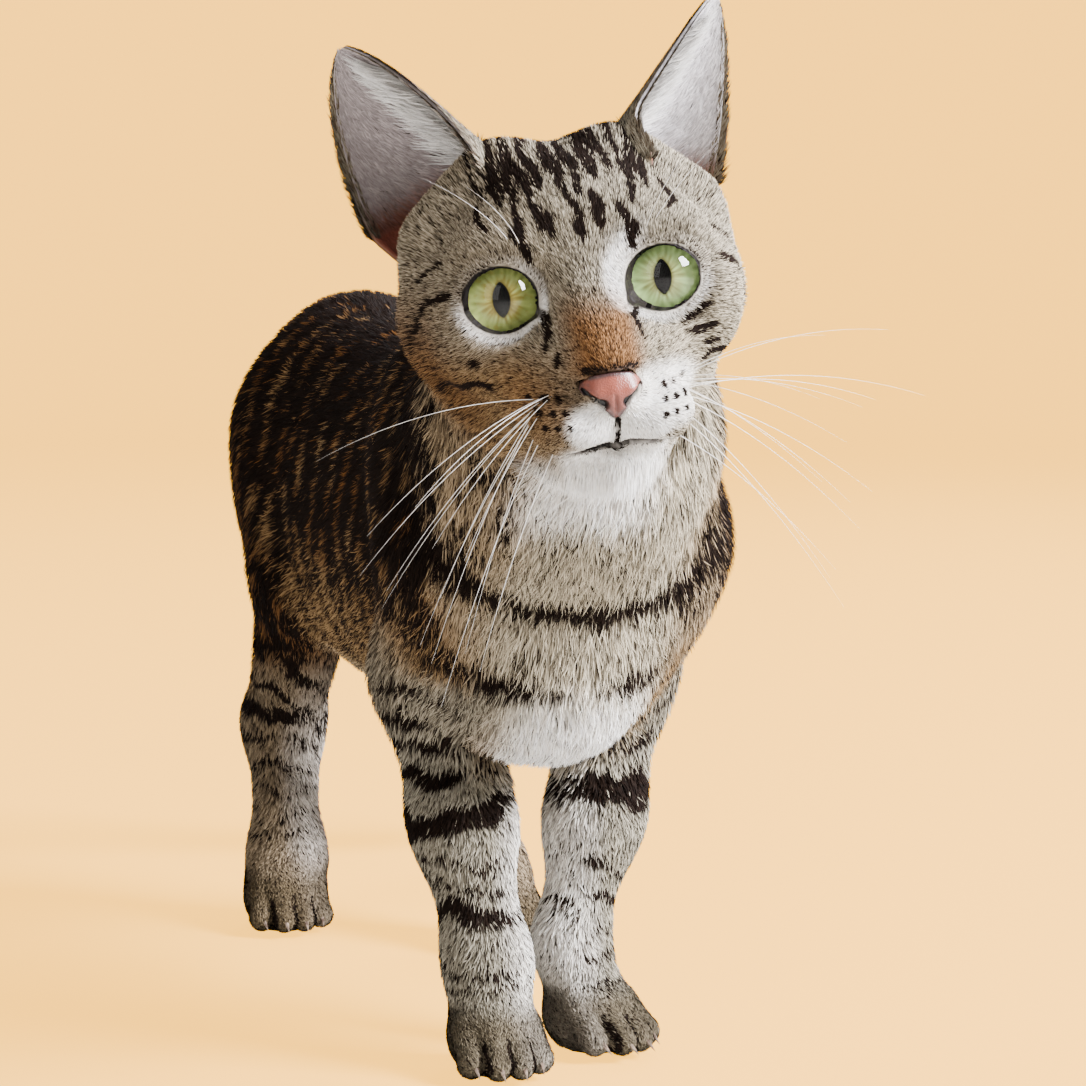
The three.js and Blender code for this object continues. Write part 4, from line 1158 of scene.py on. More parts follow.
def head_thinning(h):
    """0 where the head is bare, as on the lids' edges, lips and nose, and 1 where the coat is full."""
    x, y, z = h.T
    side = np.abs(x)
    inward, up, ahead, _ = eye_measure(h)
    from_lids = np.where(ahead > BARE_AHEAD, lid_edge(inward, up), 20)
    from_lips = np.abs(z - mouth_line(side)) + 30 * smooth(13, 15, side) + 30 * smooth(-16, -12, y)
    from_nose = nose_outline(x, z) + 30 * smooth(-27, -23, y)
    return smooth(0.3, 3.2, from_lids) * smooth(0.5, 1.9, from_lips) * smooth(-0.2, 2.2, from_nose)


def coat_length(p, h, share):
    """The usual length of a lock."""
    y, z = p[:, 1], p[:, 2]
    front = smooth(-105, -145, y) * smooth(236, 214, z)
    belly = smooth(122, 104, z)
    length = 9.0 + 2.5 * front + 2.5 * belly
    for name in LEGS:
        foot = 45 if name.startswith("hind") else 38
        leg = 7.5 - 2.6 * smooth(135, 85, z) - 2.7 * smooth(foot, 20, z) - 0.5 * smooth(10, 4, z)
        length += (leg - length) * share[name]
    length += (8.5 - length) * share["tail"]
    side = np.abs(h[:, 0])
    head = 2.0 + 1.5 * smooth(-30, -8, h[:, 1]) + 1.7 * smooth(-2, 30, h[:, 1])
    head += 3.2 * smooth(24, 40, side) * smooth(6, -14, h[:, 2]) * smooth(-8, 14, h[:, 1])
    head += 6.0 * smooth(-40, -48, h[:, 2]) * smooth(-34, -14, h[:, 1])
    head *= 0.4 + 0.6 * head_thinning(h)
    length += (head - length) * share["head"]
    return length


def coat_density(p, h, share):
    """Locks to a square millimetre."""
    density = 2.35 + 1.75 * smooth(-95, -140, p[:, 1]) * smooth(240, 214, p[:, 2])
    for name in LEGS:
        leg = 2.5 + 1.6 * smooth(110, 60, p[:, 2]) + 2.4 * smooth(34, 20, p[:, 2])
        density += (leg * (0.75 if name.startswith("hind") else 1) - density) * share[name]
    density += (1.7 - density) * share["tail"]
    head = 16.0 - 7 * smooth(-2, 16, h[:, 1]) - 4 * smooth(16, 44, h[:, 1])
    density += (head - density) * share["head"]
    return density


def lock_mesh(name, roots, middles, tips, half, tones, places):
    """A mesh of narrow spindles, each bent once: a root, two points across its middle and a tip."""
    count = len(roots)
    points = np.stack([roots, middles + half, middles - half, tips], 1)
    mesh = bpy.data.meshes.new(name)
    mesh.vertices.add(count * 4)
    mesh.vertices.foreach_set("co", in_frame(points).astype(np.float32).ravel())
    corners = np.arange(count)[:, None] * 4 + np.array([0, 2, 1, 1, 2, 3])
    mesh.loops.add(count * 6)
    mesh.loops.foreach_set("vertex_index", corners.astype(np.int32).ravel())
    mesh.polygons.add(count * 2)
    mesh.polygons.foreach_set("loop_start", (np.arange(count * 2) * 3).astype(np.int32))
    mesh.update(calc_edges=True)
    paint(mesh, tones.reshape(-1, 3))
    layer = mesh.uv_layers.new(name="OFBake")
    corner_places = np.array([(0, -1), (1, 0), (-1, 0), (-1, 0), (1, 0), (0, 1)]) * PATCH / 2
    layer.uv.foreach_set("vector", (places[:, None] + corner_places).astype(np.float32).ravel())
    return mesh


def lock_tones(colour, dark, ticked, rng):
    """Colours of each lock from root to tip: all dark in a stripe, or pale with a darker band and
    tip where the hair is ticked. Every root is painted darker: partly the ticked hair's own dark base, partly
    painted shade deep in the coat."""
    count = len(colour)
    in_stripe = rng.uniform(size=count) < np.maximum(np.clip(1.3 * dark - 0.12, 0, 0.98), 0.16 * ticked)
    dark_tip = rng.uniform(size=count) < 0.35 * ticked
    shade = rng.uniform(0.74, 1.26, (count, 1))
    ground = np.clip(colour * shade, 0, 1)
    ink = INK * rng.uniform(0.7, 1.9, (count, 1))
    # painted shade: every root is 0.42 of the ground, plain pale hair too; for ticked hair this is also its
    # own dark base
    root = toned(ground * 0.42, INK, 0.8 * ticked)
    middle = toned(ground * 0.9, INK, ticked * rng.uniform(0.3, 0.8, count))
    pale_tip = np.clip(ground * (1.25 + 0.25 * ticked)[:, None], 0, 0.92)
    tip = np.where(dark_tip[:, None], toned(ground, INK, 0.85), pale_tip)
    root, middle, tip = (np.where(in_stripe[:, None], ink, tone) for tone in (root, middle, tip))
    return np.stack([root, middle, middle, tip], 1)


def scattered(mesh, rng):
    """Roots spread over the skin by the coat's density: points, normals and places on the unwrap."""
    mesh.calc_loop_triangles()
    count = len(mesh.loop_triangles)
    corners, loops = (np.empty(count * 3, np.int32) for _ in range(2))
    mesh.loop_triangles.foreach_get("vertices", corners)
    mesh.loop_triangles.foreach_get("loops", loops)
    corners, loops = corners.reshape(-1, 3), loops.reshape(-1, 3)
    points = points_of(mesh)
    places = np.empty(len(mesh.loops) * 2, np.float32)
    mesh.uv_layers["OFBake"].uv.foreach_get("vector", places)
    a, b, c = points[corners[:, 0]], points[corners[:, 1]], points[corners[:, 2]]
    area = 0.5 * np.linalg.norm(np.cross(b - a, c - a), axis=1)
    middle = (a + b + c) / 3
    parts = part_distances(middle)
    h = on_head(middle)
    expected = area * coat_density(middle, h, belonging(parts))
    expected *= skin_shape(middle) < 0.7  # the ears have their own locks
    expected *= np.where(parts["head"] < 3, head_thinning(h) > 0.02, 1) * (middle[:, 2] > 1.6)
    run = np.cumsum(expected)
    total = int(run[-1])
    chosen = np.searchsorted(run, (np.arange(total) + rng.uniform(size=total)) / total * run[-1])
    chosen = np.minimum(chosen, count - 1)
    s, t = np.sqrt(rng.uniform(size=total)), rng.uniform(size=total)
    weights = np.stack([1 - s, s * (1 - t), s * t], 1)[:, :, None]
    roots, normals = ((array[corners[chosen]] * weights).sum(1) for array in (points, normals_of(mesh)))
    return roots, unit(normals), (places.reshape(-1, 2)[loops[chosen]] * weights).sum(1)


def hair_ways(roots, n, h, share, rng):
    """Which way each lock lies along the skin, with the coat's own disorder."""
    way = coat_lie(roots, h, share)
    loose = 0.34 - 0.2 * share["head"]
    for axis in range(3):
        way[:, axis] += loose * 0.6 * waves(roots, 9, 41 + axis)
    way += loose[:, None] * 0.55 * rng.normal(size=(len(roots), 3))
    way -= n * (way * n).sum(1, keepdims=True)
    return unit(way)


def regions_of(share):
    """The name of the region that each lock is kept with."""
    region = np.full(len(share["head"]), "torso", dtype="<U6")
    region[np.maximum(share["fore_left"], share["fore_right"]) > 0.5] = "fore"
    region[np.maximum(share["hind_left"], share["hind_right"]) > 0.5] = "hind"
    region[share["tail"] > 0.5] = "tail"
    region[share["head"] > 0.5] = "head"
    return region


def body_locks(mesh, rng):
    """Every lock of the coat but the ears': roots, middles, tips, half widths, tones, places, region."""
    roots, n, places = scattered(mesh, rng)
    h = on_head(roots)
    share = belonging(part_distances(roots))
    count = len(roots)
    way = hair_ways(roots, n, h, share, rng)
    length = coat_length(roots, h, share) * rng.uniform(0.7, 1.2, count)
    depth = coat_depth(roots, h, share) * np.where(share["head"] > 0.5, 0.3 + 0.7 * head_thinning(h), 1)
    stand = np.minimum(depth * rng.uniform(0.45, 1.12, count), 0.62 * length)
    middles = roots + way * (0.5 * length)[:, None]
    tips = roots + way * length[:, None]
    middles += n * (0.62 * stand - plain_skin_shape(middles))[:, None]
    tips += n * np.clip(stand - plain_skin_shape(tips), -6, 6)[:, None]
    chin = share["head"] * smooth(-41, -47, h[:, 2]) * smooth(22, 12, np.abs(h[:, 0]))
    hang = chin * smooth(24, 4, h[:, 1]) * rng.uniform(0, 1, count) ** 1.5
    middles[:, 2] -= 2.4 * hang
    tips[:, 2] -= 8.0 * hang
    colour, dark, ticked = coat_colours(0.5 * (roots + middles), share)
    tones = lock_tones(colour, dark, ticked, rng)
    thick = np.clip(1.0 / np.sqrt(coat_density(roots, h, share)), 0.24, 0.62) * rng.uniform(0.7, 1.25, count)
    roll = rng.normal(0, 0.35, count)
    across = np.cross(n, way) * np.cos(roll)[:, None] + n * np.sin(roll)[:, None]
    half = across * (0.5 * thick)[:, None]
    for points in (middles, tips):
        points[:, 2] = np.maximum(points[:, 2], LOWEST_HAIR)
    return [roots - 0.25 * n, middles, tips, half, tones, places], regions_of(share)


EAR_COAT = {  # how many locks, their length, how far they stand off the wall and their thickness, and
    # how far across the ear their tips may reach, where 1 is the rim
    "back": (11000, (2.4, 4.2), (0.3, 1.1), (0.3, 0.45), 1.02),
    "inside": (3800, (3.0, 5.5), (0.2, 1.0), (0.2, 0.32), 0.97),
    "rim": (5200, (2.6, 5.2), (0.2, 1.2), (0.22, 0.34), 1.3),
    "long": (1700, (11, 21), (1.0, 6.5), (0.3, 0.45), 0.97),
}


def ear_lock_shapes(ear, v, u, turn, length, stand, inwards, limit):
    """The root, middle and tip of each lock of an ear, and the way across it."""
    way = np.where(inwards, -1.0, 1.0)
    du = length * np.sin(turn) / (ear_half(v) * 1.4)
    dv = length * np.cos(turn) / ear.height
    stops = []
    for part, rise in ((0, -0.15), (0.5, 0.65), (1, 1)):
        off = way * (EAR_WALL / 2 + rise * stand)
        stops.append(from_head(ear.leaf(v + part * dv, np.clip(u + part * du, -limit, limit), off)))
    root, middle, tip = stops
    out = unit(from_head(ear.leaf(v, u, way * (EAR_WALL / 2 + 1))) - root)
    return root, middle, tip, unit(np.cross(out, middle - root))


def ear_locks(side, rng, tree, tree_places):
    """The locks of one ear: short on its back, sparse inside, fringing its rim, and long and pale
    from the edge nearer the middle of the head."""
    ear = EAR[side]
    medial = ear.medial
    sets = []
    for name, (count, lengths, stands, widths, limit) in EAR_COAT.items():
        v = 0.97 * (1 - (1 - rng.uniform(0.0, 1.0, count)) ** 0.62)
        u = rng.uniform(-0.985, 0.985, count)
        length, stand = rng.uniform(*lengths, count), rng.uniform(*stands, count)
        thick = rng.uniform(*widths, count)
        length *= 0.4 + 0.6 * smooth(0.96, 0.72, v)
        turn = rng.normal(0, 0.22, count)
        inwards = np.full(count, name in ("inside", "long"))
        dark = np.zeros(count)
        if name == "back":
            near_head = smooth(0.5, 0.1, v) * smooth(0.2, 0.7, medial * u)
            colour = toned(even(EAR_HAIR_BACK, count), FAWN, 0.6 * smooth(0.3, -0.1, v))
            colour = toned(colour, ASH, 0.9 * near_head)
            dark, ticked = 0.3 * smooth(0.1, 0.4, v) * (1 - near_head), np.full(count, 0.8)
        elif name == "rim":
            u = np.sign(u) * rng.uniform(0.9, 1.0, count)
            turn = np.sign(u) * rng.uniform(-0.2, 0.75, count)
            inwards = rng.uniform(size=count) < 0.4
            stand *= np.where(inwards, 0.6, 0.8)
            colour = toned(even(ASH, count), EAR_HAIR_RIM, rng.uniform(0, 1, count))
            ticked = np.full(count, 0.6)
        elif name == "inside":
            # the inner hair darkens to the root, partly the pink skin there and partly painted shade in the
            # deep hollow
            colour = toned(even(EAR_INSIDE_LIT_AND_SHADED[side], count), EAR_HAIR_ROOT_AND_SHADE, smooth(0.2, 0.0, v))
            ticked = np.full(count, 0.04)
            turn -= 0.5 * medial
        else:
            v = rng.uniform(0.0, 0.75, count)
            u = medial * rng.uniform(0.4, 0.98, count)
            length *= 1 - 0.45 * v
            turn = -medial * rng.uniform(0.4, 1.15, count)
            colour = even(EAR_HAIR_LONG, count) * rng.uniform(0.75, 1, (count, 1))
            ticked = np.zeros(count)
        roots, middles, tips, across = ear_lock_shapes(ear, v, u, turn, length, stand, inwards, limit)
        near_places = np.array([tree_places[tree.find_nearest(Vector(root))[2]] for root in roots])
        tones = lock_tones(colour, dark, ticked, rng)
        sets.append([roots, middles, tips, across * (0.5 * thick)[:, None], tones, near_places])
    return [np.concatenate(columns) for columns in zip(*sets)]


# ------------------------------------------------------------------ nose, eyes and whiskers

NOSTRIL = ((3.3, -25.8), (4.9, -25.2), (6.4, -23.6), (7.4, -21.9))  # ways out from the middle, and up


def laid_on_muzzle(x, z):
    """Points on the body's outline before the tip of the muzzle, found by going back to it."""
    h = np.stack([x, np.full(len(x), -36.0), z], 1)
    for _ in range(14):
        h[:, 1] += 0.8 * unpressed_skin_shape(from_head(h))
    return h


def nose_mesh():
    """The bare leather: a thin shell on the tip of the muzzle, with wings, nostrils and a groove."""
    across, down = 56, 48
    s, t = (grid.ravel() for grid in np.meshgrid(np.linspace(-1, 1, across + 1), np.linspace(0, 1, down + 1)))
    z = NOSE_TOP + t * (NOSE_BOTTOM - NOSE_TOP)
    x = NOSE_MIDDLE + s * nose_half(z)
    z = z - 0.02 * (x - NOSE_MIDDLE) ** 2 * (1 - t)
    h = laid_on_muzzle(x, z)
    side = np.abs(x - NOSE_MIDDLE)
    edge = nose_half(z) - side
    rise = 0.15 + 0.75 * smooth(0, 1.6, np.minimum(edge, (1 - t) * 10 + 0.5))
    rise += 0.7 * bell(np.hypot(side - 4.9, z + 22.3), 2.2) + 0.35 * bell(np.hypot(side, z + 22.5), 2.4)
    flat = np.stack([side, z, 0 * z], 1)
    hole = near_path(flat, [(a, b, 0) for a, b in NOSTRIL], (1.2, 0.35))
    rise -= 3.0 * smooth(1.5, 0.4, hole)
    rise -= 0.55 * bell(side, 0.5) * smooth(-22.5, -25, z)
    front = h - np.array([0, 1, 0]) * rise[:, None]
    back = h + np.array([0, 1.6, 0])
    mesh = mesh_of("nose_leather", in_frame(from_head(np.vstack([front, back]))), leaf_faces(down, across))
    rim = smooth(1.5, 0.2, edge + 0.25 * waves(front, 3, 51)) + smooth(0.1, 0.02, t)
    blotches = 0.7 * smooth(0.15, 0.8, waves(front, 2.4, 52)) * smooth(4, 1, edge)
    colour = toned(even(LEATHER, len(x)), LEATHER_LOW, 0.6 * smooth(-21, -28, z))
    colour = toned(colour, LEATHER_RIM, rim)
    colour = toned(colour, LEATHER_BLOTCH, blotches)
    colour = toned(colour, NOSTRIL_TONE, smooth(1.7, 0.8, hole))
    # painted shade: the hidden back of the leather, and the sides that join it to the front, are painted at
    # 0.4 of the front's colour
    paint(mesh, np.vstack([colour, colour * 0.4]))
    return mesh


def paint(mesh, colours):
    """Keeps one colour for each point of the mesh, for its material to read."""
    tone = mesh.attributes.new("tone", "FLOAT_COLOR", "POINT")
    rgba = np.ones((len(mesh.vertices), 4), np.float32)
    rgba[:, :3] = colours
    tone.data.foreach_set("color", rgba.ravel())
    shade_smooth(mesh)


IRIS_RADIUS, IRIS_AHEAD, PUPIL_AHEAD = 10.0, 5.2, 7.2
PUPIL_WIDE, PUPIL_HIGH = 2.15, 4.3
IRIS_TONES = {  # outer edge, middle, round the pupil
    "right": ("5c6230", "8a9452", "938741"),
    "left": ("67733f", "92ab6b", "949c60"),
}


def turned_shell(name, side, radius, along, around=128):
    """A closed ball-like shell from rings about the eye's gaze: radius and height of each ring."""
    middle = np.array([EYE_SPREAD if side == "left" else -EYE_SPREAD, 0, 0])
    angle = np.arange(around) * 2 * math.pi / around
    ring = np.cos(angle)[:, None] * GAZE_LEFT + np.sin(angle)[:, None] * GAZE_UP
    points = [middle + GAZE * along[0]]
    for r, a in zip(radius[1:-1], along[1:-1]):
        points.extend(middle + GAZE * a + r * ring)
    points.append(middle + GAZE * along[-1])
    faces = [(0, 1 + (i + 1) % around, 1 + i) for i in range(around)]
    for row in range(len(radius) - 3):
        start = 1 + row * around
        for i in range(around):
            j = (i + 1) % around
            faces.append((start + i, start + j, start + around + j, start + around + i))
    last = len(points) - 1
    faces += [(last, last - around + i, last - around + (i + 1) % around) for i in range(around)]
    points = np.array(points)
    mesh = mesh_of(name, in_frame(from_head(points)), faces)
    built = bmesh.new()
    built.from_mesh(mesh)
    bmesh.ops.recalc_face_normals(built, faces=built.faces)
    built.to_mesh(mesh)
    built.free()
    local = points - middle
    return mesh, local @ GAZE_LEFT, local @ GAZE_UP, local @ GAZE


def eye_colours(side, a, b, ahead):
    """The iris with its fibres and flecks, its slit pupil, and the rest of the ball painted near-black as
    painted shade of the socket, by the way to the left, up and ahead."""
    rho = np.hypot(a, b)
    edge, middle, inner = (tint(code) for code in IRIS_TONES[side])
    around = np.stack([a / np.maximum(rho, 0.1) * 9, b / np.maximum(rho, 0.1) * 9, rho * 0.35], 1)
    fibre = waves(around, 2.0, 61, 14)
    colour = toned(even(middle, len(a)), inner, smooth(6.2, 3.0, rho + 0.8 * fibre))
    colour *= (1 + 0.22 * fibre)[:, None]
    flecks = smooth(0.9, 1.6, waves(around * (1, 1, 3.0), 3.1, 62, 12)) * (1.0 if side == "right" else 0.4)
    colour = toned(colour, IRIS_FLECK, 0.35 * flecks)
    colour = toned(colour, edge, 0.5 * smooth(9.2, 9.9, rho))
    slit = np.abs(a) - PUPIL_WIDE * np.maximum(1 - (b / PUPIL_HIGH) ** 2, 0) ** 0.75
    colour = toned(colour, PUPIL_RIM, 0.5 * smooth(0.9, 0.2, slit) * (np.abs(b) < PUPIL_HIGH + 0.4))
    colour = toned(colour, PUPIL_TONE, smooth(0.14, -0.14, slit) * (np.abs(b) < PUPIL_HIGH))
    # painted shade: all of the ball beyond the iris is painted near-black, as the shade inside the lids
    beyond_iris = smooth(IRIS_RADIUS - 0.15, IRIS_RADIUS, rho) + (ahead < IRIS_AHEAD - 0.1)
    return toned(colour, BALL_SHADE, beyond_iris)


def eyeball_mesh(side):
    """Iris and pupil as a gently domed disc set back in the ball, and the ball's rest, painted near-black as
    painted shade.
    """
    disc = np.linspace(0, IRIS_RADIUS, 52)
    rest = np.linspace(math.atan2(IRIS_RADIUS, IRIS_AHEAD), math.pi, 22)[1:]
    ball = math.hypot(IRIS_RADIUS, IRIS_AHEAD)
    dome = PUPIL_AHEAD + (IRIS_AHEAD - PUPIL_AHEAD) * (disc / IRIS_RADIUS) ** 2
    radius = np.concatenate([disc, ball * np.sin(rest)])
    along = np.concatenate([dome, ball * np.cos(rest)])
    mesh, a, b, ahead = turned_shell("eyeball", side, radius, along)
    paint(mesh, eye_colours(side, a, b, ahead))
    return mesh


def cornea_mesh(side):
    """The clear front of the eye, which stands a little out of the ball's round."""
    angle = np.linspace(0, math.pi, 40)
    ball = EYE_RADIUS + 0.9 * bell(angle, 0.75)
    mesh = turned_shell("cornea", side, ball * np.sin(angle), ball * np.cos(angle), 96)[0]
    shade_smooth(mesh)
    return mesh


WHISKER_ROWS = (  # height on the pad, first place out, how many, droop
    (-23.6, 15.5, 3, -0.9), (-26.6, 13.5, 4, -0.35), (-29.8, 13.0, 4, 0.15), (-33.2, 13.5, 3, 0.8),
)
WHISKER_STEP = 2.9
WHISKER_FALL = {"right": 0.9, "left": 0.36}
WHISKER_GIRTH, BROW_HAIR_GIRTH = 0.12, 0.07  # half their thickness at the root
WHISKER_SIDES = 6


def pad_roots():
    """Where the whiskers leave the skin of the pads."""
    roots = []
    for side in (-1, 1):
        for z, first, count, _ in WHISKER_ROWS:
            for n in range(count):
                roots.append((side * (first + n * WHISKER_STEP), -24 + 1.5 * n, z - 0.35 * n))
    return on_head(settled(plain_skin_shape, from_head(np.array(roots)), 3.0, 8))


def pad_whiskers(rng):
    """For each whisker of the pads: its root, way, length and bend."""
    plan = [(side, n, drop) for side in ("right", "left")
            for _, _, count, drop in WHISKER_ROWS for n in range(count)]
    hairs = []
    for root, (side, n, drop) in zip(WHISKER_ROOTS, plan):
        sign = 1 if side == "left" else -1
        fall = WHISKER_FALL[side] + 0.75 * drop + rng.normal(0, 0.13)
        way = unit(np.array([sign, -0.42 + 0.16 * n + rng.normal(0, 0.1), -fall]))
        length = rng.uniform(50, 70) * (1 - 0.09 * max(0, 2 - n))
        hairs.append((root, way, length, np.array([0, 0.16, -0.3])))
    return hairs


def brow_hairs(rng):
    """The same for the two long hairs above each eye."""
    hairs = []
    for side in (-1, 1):
        for n in range(2):
            root = np.array([side * (17 + 2.2 * n), -9.6 + 1.6 * n, 14.5 + 0.8 * n])
            way = unit(np.array([side * (0.25 + 0.22 * n), -0.55, 0.85]))
            hairs.append((root, way, rng.uniform(24, 32), np.array([side * 0.25, 0.5, -0.1])))
    return hairs


def whisker_paths(rng):
    """Each whisker as points from root to tip, with its girth at each."""
    t = np.linspace(0, 1, 15)[:, None]
    lines, girths = [], []
    for hairs, girth in ((pad_whiskers(rng), WHISKER_GIRTH), (brow_hairs(rng), BROW_HAIR_GIRTH)):
        for root, way, length, bend in hairs:
            lines.append(from_head(root + way * (length * t) + bend * (length * t**2) - way * 0.8))
            girths.append(girth * (1 - 0.88 * t[:, 0]))
    return lines, girths


def tube_tree(material):
    """Geometry nodes that turn lines of points into round tapered hairs."""
    tree = bpy.data.node_groups.new("tapered hairs", "GeometryNodeTree")
    tree.interface.new_socket("Geometry", in_out="INPUT", socket_type="NodeSocketGeometry")
    sides = tree.interface.new_socket("Sides", in_out="INPUT", socket_type="NodeSocketInt")
    sides.default_value = WHISKER_SIDES
    tree.interface.new_socket("Geometry", in_out="OUTPUT", socket_type="NodeSocketGeometry")
    add = tree.nodes.new
    start, end = add("NodeGroupInput"), add("NodeGroupOutput")
    lines, girth = add("GeometryNodeMeshToCurve"), add("GeometryNodeInputNamedAttribute")
    ring, tube = add("GeometryNodeCurvePrimitiveCircle"), add("GeometryNodeCurveToMesh")
    real, dressed = add("GeometryNodeRealizeInstances"), add("GeometryNodeSetMaterial")
    girth.data_type = "FLOAT"
    girth.inputs["Name"].default_value = "girth"
    ring.inputs["Radius"].default_value = 1.0
    tube.inputs["Fill Caps"].default_value = True
    dressed.inputs["Material"].default_value = material
    link = tree.links.new
    link(start.outputs["Geometry"], lines.inputs["Mesh"])
    link(girth.outputs["Attribute"], tube.inputs["Scale"])
    link(start.outputs["Sides"], ring.inputs["Resolution"])
    link(lines.outputs["Curve"], tube.inputs["Curve"])
    link(ring.outputs["Curve"], tube.inputs["Profile Curve"])
    link(tube.outputs["Mesh"], real.inputs["Geometry"])
    link(real.outputs["Geometry"], dressed.inputs["Geometry"])
    link(dressed.outputs["Geometry"], end.inputs["Geometry"])
    return tree


def whisker_piece(material, rng):
    lines, girths = whisker_paths(rng)
    edges, at = [], 0
    for line in lines:
        edges += [(at + n, at + n + 1) for n in range(len(line) - 1)]
        at += len(line)
    mesh = bpy.data.meshes.new("whiskers")
    mesh.from_pydata(in_frame(np.vstack(lines)), edges, [])
    girth = mesh.attributes.new("girth", "FLOAT", "POINT")
    girth.data.foreach_set("value", np.concatenate(girths).astype(np.float32) / 1000)
    piece = shown("whiskers", mesh)
    tree = tube_tree(material)
    grow = piece.modifiers.new("grow", "NODES")
    grow.node_group = tree
    sides = next(item for item in tree.interface.items_tree if item.name == "Sides")
    grow[sides.identifier] = WHISKER_SIDES
    whole = built_mesh(piece)
    piece.modifiers.remove(grow)
    piece.data = whole
    return piece


# ------------------------------------------------------------------ materials

FUR_RELIEF, PEBBLE_RELIEF = 0.0006, 0.0002  # metres
PEBBLES_TO_A_METRE = 2300.0
CORNEA_IOR = 1.376


def grain_group():
    """Fine fur grain: breaks a tone into slightly lighter and darker hairs, and gives their height."""
    group = bpy.data.node_groups.new("fur grain", "ShaderNodeTree")
    for name, kind in (("Tone", "Color"), ("Fineness", "Float"), ("Contrast", "Float")):
        group.interface.new_socket(name, in_out="INPUT", socket_type="NodeSocket" + kind)
    for name, kind in (("Tone", "Color"), ("Height", "Float")):
        group.interface.new_socket(name, in_out="OUTPUT", socket_type="NodeSocket" + kind)
    add, link = group.nodes.new, group.links.new
    start, end = add("NodeGroupInput"), add("NodeGroupOutput")
    place, noise = add("ShaderNodeTexCoord"), add("ShaderNodeTexNoise")
    spread, swing, brighter = add("ShaderNodeMapRange"), add("ShaderNodeMath"), add("ShaderNodeHueSaturation")
    link(place.outputs["Object"], noise.inputs["Vector"])
    link(start.outputs["Fineness"], noise.inputs["Scale"])
    noise.inputs["Detail"].default_value = 3.0
    spread.inputs["From Min"].default_value, spread.inputs["From Max"].default_value = 0.3, 0.7
    spread.inputs["To Min"].default_value, spread.inputs["To Max"].default_value = -1.0, 1.0
    link(noise.outputs["Fac"], spread.inputs["Value"])
    swing.operation = "MULTIPLY_ADD"
    link(spread.outputs["Result"], swing.inputs[0])
    link(start.outputs["Contrast"], swing.inputs[1])
    swing.inputs[2].default_value = 1.0
    link(swing.outputs[0], brighter.inputs["Value"])
    link(start.outputs["Tone"], brighter.inputs["Color"])
    link(brighter.outputs["Color"], end.inputs["Tone"])
    link(noise.outputs["Fac"], end.inputs["Height"])
    return group


def material_of(name, **values):
    """A new material, its nodes and links, and its Principled shader with the values set."""
    material = bpy.data.materials.new(name)
    material.use_nodes = True
    shader = material.node_tree.nodes["Principled BSDF"]
    for socket, value in values.items():
        shader.inputs[socket.replace("_", " ")].default_value = value
    return material, material.node_tree.nodes, material.node_tree.links, shader


def shader_nodes(nodes, *kinds):
    return [nodes.new("ShaderNode" + kind) for kind in kinds]


def painted_tone(nodes):
    """The colours that paint() left on the piece's points."""
    tone = nodes.new("ShaderNodeAttribute")
    tone.attribute_name = "tone"
    return tone.outputs["Color"]


def furry(name, grain, fineness, contrast, bump=0.0, **values):
    """A material that reads the painted tones through the fur grain."""
    material, nodes, links, shader = material_of(name, **values)
    group, = shader_nodes(nodes, "Group")
    group.node_tree = grain
    links.new(painted_tone(nodes), group.inputs["Tone"])
    group.inputs["Fineness"].default_value, group.inputs["Contrast"].default_value = fineness, contrast
    links.new(group.outputs["Tone"], shader.inputs["Base Color"])
    if bump:
        raised, = shader_nodes(nodes, "Bump")
        raised.inputs["Strength"].default_value = bump
        raised.inputs["Distance"].default_value = FUR_RELIEF
        links.new(group.outputs["Height"], raised.inputs["Height"])
        links.new(raised.outputs["Normal"], shader.inputs["Normal"])
    return material


def leather_material():
    """Moist leather with fine pebbles."""
    material, nodes, links, shader = material_of(
        "nose leather", Roughness=0.42, Coat_Weight=0.25, Coat_Roughness=0.2)
    place, cells, raised = shader_nodes(nodes, "TexCoord", "TexVoronoi", "Bump")
    cells.inputs["Scale"].default_value = PEBBLES_TO_A_METRE
    raised.inputs["Strength"].default_value = 0.5
    raised.inputs["Distance"].default_value = PEBBLE_RELIEF
    links.new(painted_tone(nodes), shader.inputs["Base Color"])
    links.new(place.outputs["Object"], cells.inputs["Vector"])
    links.new(cells.outputs["Distance"], raised.inputs["Height"])
    links.new(raised.outputs["Normal"], shader.inputs["Normal"])
    return material


def iris_material():
    material, nodes, links, shader = material_of("iris", Roughness=0.6, Specular_IOR_Level=0.0)
    links.new(painted_tone(nodes), shader.inputs["Base Color"])
    return material


def cornea_material():
    """Clear, and open to the lamps so that the iris behind it is lit."""
    material, nodes, links, shader = material_of(
        "cornea", Roughness=0.0, IOR=CORNEA_IOR, Transmission_Weight=1.0)
    path, clear, mixed = shader_nodes(nodes, "LightPath", "BsdfTransparent", "MixShader")
    links.new(path.outputs["Is Shadow Ray"], mixed.inputs["Fac"])
    links.new(shader.outputs["BSDF"], mixed.inputs[1])
    links.new(clear.outputs["BSDF"], mixed.inputs[2])
    links.new(mixed.outputs["Shader"], nodes["Material Output"].inputs["Surface"])
    return material


def horn_material(name, low, high, fineness, **values):
    """Horn that drifts between two tones in soft clouds."""
    material, nodes, links, shader = material_of(name, **values)
    place, noise, ramp = shader_nodes(nodes, "TexCoord", "TexNoise", "ValToRGB")
    noise.inputs["Scale"].default_value = fineness
    for element, tone, at in zip(ramp.color_ramp.elements, (low, high), (0.35, 0.65)):
        element.color = (*tint(tone), 1)
        element.position = at
    links.new(place.outputs["Object"], noise.inputs["Vector"])
    links.new(noise.outputs["Fac"], ramp.inputs["Fac"])
    links.new(ramp.outputs["Color"], shader.inputs["Base Color"])
    return material


# ------------------------------------------------------------------ the cat put together


